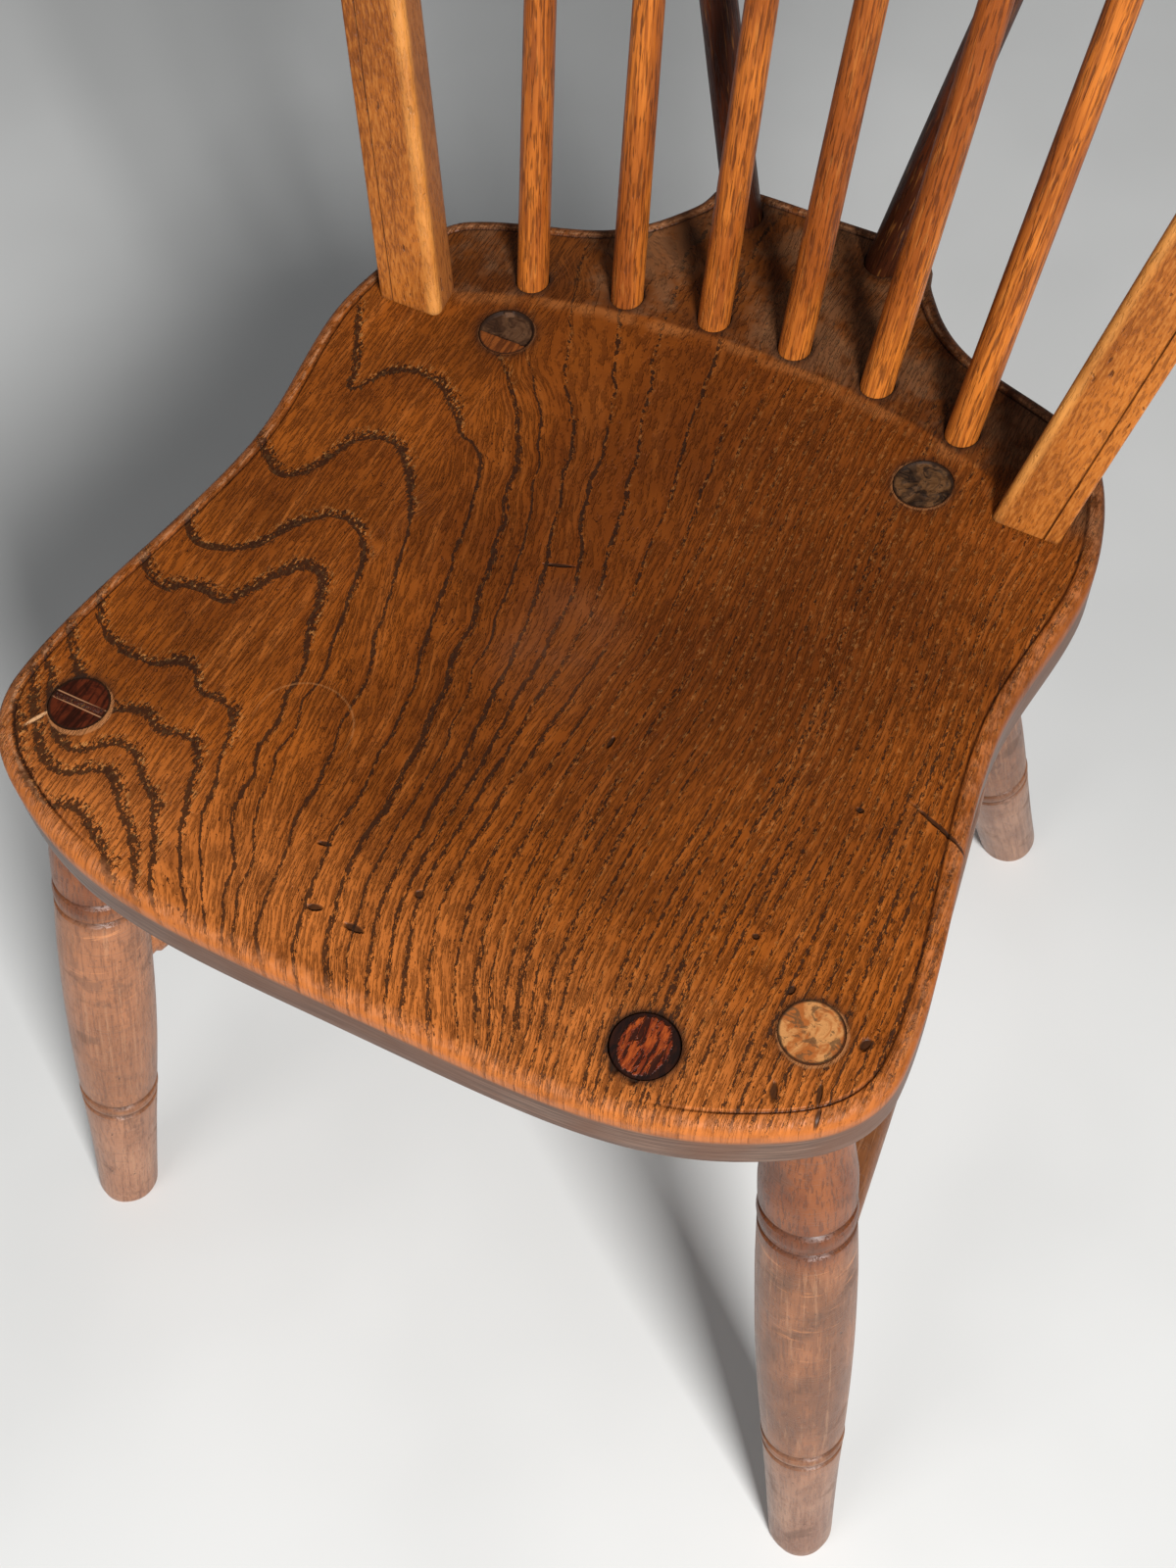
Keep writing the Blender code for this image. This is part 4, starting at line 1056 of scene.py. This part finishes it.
RAIL_ABOVE_SEAT, RAIL_SET_BACK, RAIL_FALL = 0.380, 0.1180, 0.0269
RAIL_LEAN = math.radians(19)
RAIL_HEIGHT, RAIL_THICKNESS, RAIL_BEYOND, RAIL_CORNER, RAIL_CROWN = 0.068, 0.021, 0.024, 0.026, 0.009


def rail_y(x):
    return SHOULDER_Y + RAIL_SET_BACK - RAIL_FALL * (x / POST_RAIL_X) ** 2


def rail_point(x):
    return Vector((x, rail_y(x), SEAT_HEIGHT + RAIL_ABOVE_SEAT))


def rods():
    """Every stick and brace: name, place on the seat, place on the rail, lower and upper width."""
    made = []
    places = [(-x, -u) for x, u in zip(reversed(STICK_SEAT_X), reversed(STICK_RAIL_X))]
    places += list(zip(STICK_SEAT_X, STICK_RAIL_X))
    for number, (x, rail_x) in enumerate(places, 1):
        y = SHOULDER_Y - STICK_SET_FORWARD - STICK_ROW_FALL * (x / STICK_SEAT_X[-1]) ** 2
        foot = Vector((x, y, SEAT_HEIGHT))
        made.append(("stick_%d" % number, foot, rail_point(rail_x), STICK_LOW, STICK_HIGH))
    for word, side in (("left", -1), ("right", 1)):
        foot = Vector((side * BRACE_SEAT_X, TAIL_Y - BRACE_SET_FORWARD, SEAT_HEIGHT))
        made.append(("brace_" + word, foot, rail_point(side * BRACE_RAIL_X), BRACE_LOW, BRACE_HIGH))
    return made


def make_rods(materials):
    for seed, (name, foot, top, low, high) in enumerate(rods()):
        along = (top - foot).normalized()
        start, end = foot - along * SOCKET_DEPTH, top + along * SOCKET_DEPTH
        length = (end - start).length
        profile = flowing([(0.0, low / 2 - 0.001), (0.001, low / 2), (length / 2, (low + high) / 4),
                           (length - 0.001, high / 2), (length, high / 2 - 0.001)], 0.008)
        slot = name.split("_")[0] + "_beech"
        make_bar("shaved_" + name, name, profile, start, end, materials[slot], seed + 1.5,
                 36, 0.00022)


def fillet(before, corner, after, radius, steps=5):
    """Points that round a corner of a polygon."""
    if radius == 0:
        return [corner]
    a, b = (before - corner).normalized(), (after - corner).normalized()
    half = a.angle(b) / 2
    centre = corner + (a + b).normalized() * radius / math.sin(half)
    reach = radius / math.tan(half)
    first, last = (corner + a * reach - centre).normalized(), (corner + b * reach - centre).normalized()
    return [centre + first.slerp(last, step / steps) * radius for step in range(steps + 1)]


def post_section(side):
    """Outline of a post seen from above, its front face at -Y, with a line near its outer edge."""
    w, d = POST_WIDTH / 2, POST_DEPTH / 2
    line, half = w - POST_LINE_INSET, POST_LINE_WIDTH / 2
    corners = [((-w, -d), POST_INNER_ROUND), ((-w + WORN_EDGE, -d), 0), ((line - half, -d), 0),
               ((line, -d + POST_LINE_DEPTH), 0), ((line + half, -d), 0), ((w, -d), POST_OUTER_ROUND),
               ((w, d), POST_BACK_ROUND), ((-w, d), POST_BACK_ROUND), ((-w, -d + WORN_EDGE), 0)]
    points = []
    for i, (corner, radius) in enumerate(corners):
        before, after = corners[i - 1][0], corners[(i + 1) % len(corners)][0]
        points += fillet(Vector((*before, 0)), Vector((*corner, 0)), Vector((*after, 0)), radius)
    return [Vector((side * p.x, p.y, 0)) for p in points]


def make_post(word, side, beech):
    foot = Vector((side * POST_SEAT_X, SHOULDER_Y - POST_SET_FORWARD, SEAT_HEIGHT))
    top = rail_point(side * POST_RAIL_X)
    bm = bmesh.new()
    ring = [bm.verts.new(p - Vector((0, 0, POST_EXCESS))) for p in post_section(side)]
    face = bm.faces.new(ring)
    risen = bmesh.ops.extrude_face_region(bm, geom=[face], use_keep_orig=True)["geom"]
    tall = Vector((0, 0, (top - foot).length + 2 * POST_EXCESS))
    bmesh.ops.translate(bm, vec=tall, verts=of_kind(risen, bmesh.types.BMVert))
    uprights = [e for e in bm.edges if abs(e.verts[0].co.z - e.verts[1].co.z) > 0.1]
    bmesh.ops.subdivide_edges(bm, edges=uprights, cuts=70, use_grid_fill=True)
    placed = frame_of(foot, top)
    above_seat = placed.inverted() @ Vector((0, 0, SEAT_HEIGHT + 0.0018))
    cut(bm, above_seat, placed.to_3x3().inverted() @ Vector((0, 0, 1)))
    bmesh.ops.recalc_face_normals(bm, faces=bm.faces)
    def grime(at):
        line = abs(at.x * side - (POST_WIDTH / 2 - POST_LINE_INSET)) < 0.0003 and at.y < 0
        height = max((placed @ at).z - SEAT_HEIGHT, 0.0)
        return max(1.0 if line else 0.0, 0.9 * math.exp(-height / 0.0008))
    keep_values(bm, grime, 2.0 + side)
    # the rounded inner front edge takes wear and a painted highlight
    wear_and_highlight = bm.verts.layers.float.new("wear_and_highlight")
    worn_width = POST_INNER_ROUND + 0.0002
    for vert in bm.verts:
        at_edge = (vert.co.x * side < -POST_WIDTH / 2 + worn_width
                   and vert.co.y < -POST_DEPTH / 2 + worn_width)
        vert[wear_and_highlight] = max(0.0, 1.0 + noise.noise(vert.co * 40)) * 0.7 if at_edge else 0.0
    roughened(bm, 0.00025, 35, 5 * side)
    bmesh.ops.transform(bm, matrix=placed, verts=bm.verts)
    trimmed(bm, (0, 0, SEAT_HEIGHT + CLEARANCE), (0, 0, -1))
    tangent = Vector((POST_RAIL_X, -2 * RAIL_FALL * side, 0)).normalized()
    up = Vector((0, math.sin(RAIL_LEAN), math.cos(RAIL_LEAN)))
    over = tangent.cross(up).cross(tangent).normalized()
    trimmed(bm, top - over * 2 * CLEARANCE, over)
    piece(bm, "flat_post_" + word, [beech], "post_" + word)


def rail_top(x):
    """Height of the rail's upper edge: slightly crowned, with round shoulders."""
    half = POST_RAIL_X + RAIL_BEYOND
    height = RAIL_HEIGHT - RAIL_CROWN * (x / half) ** 2
    into = abs(x) - (half - RAIL_CORNER)
    if into > 0:
        height -= RAIL_CORNER - math.sqrt(max(RAIL_CORNER ** 2 - into ** 2, 0.0))
    return height


def make_rail(beech):
    half = POST_RAIL_X + RAIL_BEYOND
    bm = bmesh.new()
    bmesh.ops.create_grid(bm, x_segments=120, y_segments=14, size=1.0)
    for vert in bm.verts:
        x = half * math.sin(vert.co.x * math.pi / 2)
        up = (vert.co.y + 1) / 2 * rail_top(x)
        vert.co = (x, rail_y(x) + up * math.sin(RAIL_LEAN),
                   SEAT_HEIGHT + RAIL_ABOVE_SEAT + up * math.cos(RAIL_LEAN))
    bm.normal_update()
    for vert in bm.verts:
        vert.co += vert.normal * RAIL_THICKNESS / 2
    bmesh.ops.solidify(bm, geom=bm.faces[:], thickness=RAIL_THICKNESS)
    bmesh.ops.recalc_face_normals(bm, faces=bm.faces)
    sharp = [e for e in bm.edges if e.is_manifold and e.calc_face_angle() > math.radians(50)]
    bmesh.ops.bevel(bm, geom=sharp, offset=0.003, segments=4, profile=0.5, affect="EDGES", material=-1)
    grain = bm.verts.layers.float_vector.new("grain")
    for word in ("grime", "wear_and_highlight"):
        bm.verts.layers.float.new(word)
    for vert in bm.verts:
        x, y, z = vert.co
        vert[grain] = (y - rail_y(x), z - SEAT_HEIGHT - RAIL_ABOVE_SEAT - RAIL_HEIGHT / 2, x)
    roughened(bm, 0.0003, 35, 2, 1.0)
    piece(bm, "bowed_crest_rail", [beech], "crest_rail")


# Small inlays

PATCH_X, PATCH_Y, PATCH_WIDTH, PATCH_DEEP = 0.1105, FRONT_Y + 0.0325, 0.0268, 0.010
WEDGE = (0.0228, 0.0026, 0.006)


def make_patch(material):
    radius = PATCH_WIDTH / 2
    shoulder = [(PATCH_DEEP - 0.0012, radius), (PATCH_DEEP - CLEARANCE, radius - 0.0005)]
    bm = spun([(0.0, radius)] + flowing(shoulder), 64)
    keep_values(bm)
    bmesh.ops.translate(bm, vec=(PATCH_X, PATCH_Y, SEAT_HEIGHT - PATCH_DEEP), verts=bm.verts)
    piece(bm, "plugged_round_patch", [material], "round_patch")


def make_wedge(material):
    top = leg_ends(-1, "front")[0]
    turn = math.radians(3)
    bm = bmesh.new()
    bmesh.ops.create_cube(bm, size=1.0)
    bmesh.ops.scale(bm, vec=WEDGE, verts=bm.verts)
    bmesh.ops.bevel(bm, geom=bm.edges[:], offset=0.0003, segments=2, profile=0.5, affect="EDGES",
                    material=-1)
    keep_values(bm)
    bmesh.ops.translate(bm, vec=(0, 0, -WEDGE[2] / 2), verts=bm.verts)
    across = Vector((math.cos(turn), math.sin(turn), 0))
    bmesh.ops.transform(bm, matrix=frame_of(top, top + Vector((0, 0, 1)), across), verts=bm.verts)
    piece(bm, "driven_wedge", [material], "wedge_front_left")


def bored_sockets():
    """Cutters for every hole in the seat, and the rims that they leave in its top."""
    shapes, rims = bmesh.new(), []
    def add(profile, start, end, facets):
        bar = spun(profile, facets)
        bmesh.ops.transform(bar, matrix=frame_of(start, end), verts=bar.verts)
        spare = mesh_of(bar, "cutter")
        shapes.from_mesh(spare)
        bpy.data.meshes.remove(spare)
    neck, tenon = LEG_NECK / 2 + CLEARANCE, LEG_TENON / 2 + CLEARANCE
    for side in (-1, 1):
        for place in ("front", "back"):
            top, foot = leg_ends(side, place)
            length = (top - foot).length
            add([(length - 0.060, neck), (length - 0.032, neck), (length, tenon),
                 (length + BORE_ABOVE, tenon)], foot, top, 72)
            rims.append((top.x, top.y, tenon))
    for _, foot, top, low, _ in rods():
        along = (top - foot).normalized()
        radius = low / 2 + SOCKET_GAP
        add([(0.0, radius), (SOCKET_DEPTH + BORE_ABOVE, radius)],
            foot - along * (SOCKET_DEPTH + CLEARANCE), foot + along * BORE_ABOVE, 36)
        rims.append((foot.x, foot.y, radius))
    low = Vector((PATCH_X, PATCH_Y, SEAT_HEIGHT - PATCH_DEEP - CLEARANCE))
    radius = PATCH_WIDTH / 2 + CLEARANCE
    add([(0.0, radius), (PATCH_DEEP + 0.010, radius)], low, low + Vector((0, 0, 1)), 64)
    rims.append((PATCH_X, PATCH_Y, radius))
    return shapes, rims


leg_finish, post_finish = leg_beech(), post_beech()
rod_finishes = {
    "stick_beech": shaved_beech("stick_beech", (194, 110, 38), (146, 74, 22), (74, 34, 12), 0.65),
    "brace_beech": shaved_beech("brace_beech", (92, 40, 13), (62, 26, 8), (32, 13, 6), 0.6),
}
wedge_finish = shaved_beech("wedge_wood", (78, 34, 16), (54, 22, 11), (26, 11, 6), 0.7)
end_finishes = {word: tenon_end(word, *rest) for word, *rest in (
    ("front_left", (84, 34, 16), (58, 22, 11), (28, 11, 6), 0.25, 0.38, 0.0002, 0.7),
    ("front_right", (182, 126, 74), (152, 86, 40), (92, 66, 42), 0.80, 0.46),
    ("back_left", (88, 60, 40), (60, 38, 24), (34, 20, 12), 0.5),
    ("back_right", (92, 62, 36), (56, 38, 24), (22, 14, 9), 0.8, 0.6, 0.0008))}

cutters, rims = bored_sockets()
seat = bored(seat_blank(), cutters)
mark_seat(seat, rims)
piece(seat, "dished_elm_seat", [seat_elm()], "seat", sharp=40)
for word, side in (("left", -1), ("right", 1)):
    for place in ("front", "back"):
        make_leg(place, word, side, [leg_finish, end_finishes[place + "_" + word]])
    make_post(word, side, post_finish)
make_stretchers(leg_finish)
make_rods(rod_finishes)
make_rail(post_finish)
make_patch(patch_finish())
make_wedge(wedge_finish)


# Studio

def pale_floor():
    f = Finish("pale_floor", 0.7)
    tone = f.rise(f.cloud(f.here(), 3, 3.0), 0.3, 0.7)
    return f.finish(f.tint((224, 224, 222), (214, 214, 212), tone), None)


def panel(name, place, aim_at, size, watts):
    lamp = bpy.data.lights.new(name, "AREA")
    lamp.shape = "RECTANGLE"
    lamp.size, lamp.size_y = size
    lamp.energy = watts
    made = show(name, lamp)
    made.location = place
    made.rotation_euler = (Vector(aim_at) - Vector(place)).to_track_quat("-Z", "Y").to_euler()


bm = bmesh.new()
bmesh.ops.create_grid(bm, x_segments=1, y_segments=1, size=6.0)
ground = mesh_of(bm, "studio_floor")
ground.materials.append(pale_floor())
floor = show("studio_floor", ground)

panel("key", (1.25, -1.10, 1.95), (0.0, 0.0, 0.4), (0.5, 0.5), 72)
panel("fill", (-0.5, -1.9, 1.5), (0.0, -0.1, 0.35), (1.2, 1.2), 12)

world = bpy.data.worlds.new("studio")
bpy.context.scene.world = world
world.use_nodes = True
sky = world.node_tree.nodes["Background"].inputs
sky["Color"].default_value = (0.8, 0.85, 0.9, 1)
sky["Strength"].default_value = 0.11

view = bpy.data.cameras.new("view")
view.lens, view.sensor_width = 46.93, 36
camera = show("view", view)
camera.location = ONTO_FRAME @ Vector((0.25291, -0.44639, 1.1378))
camera.rotation_euler = Euler((0.53091, 0.04071, 0.47846))
bpy.context.scene.camera = camera
bpy.context.scene.view_settings.view_transform = "Standard"
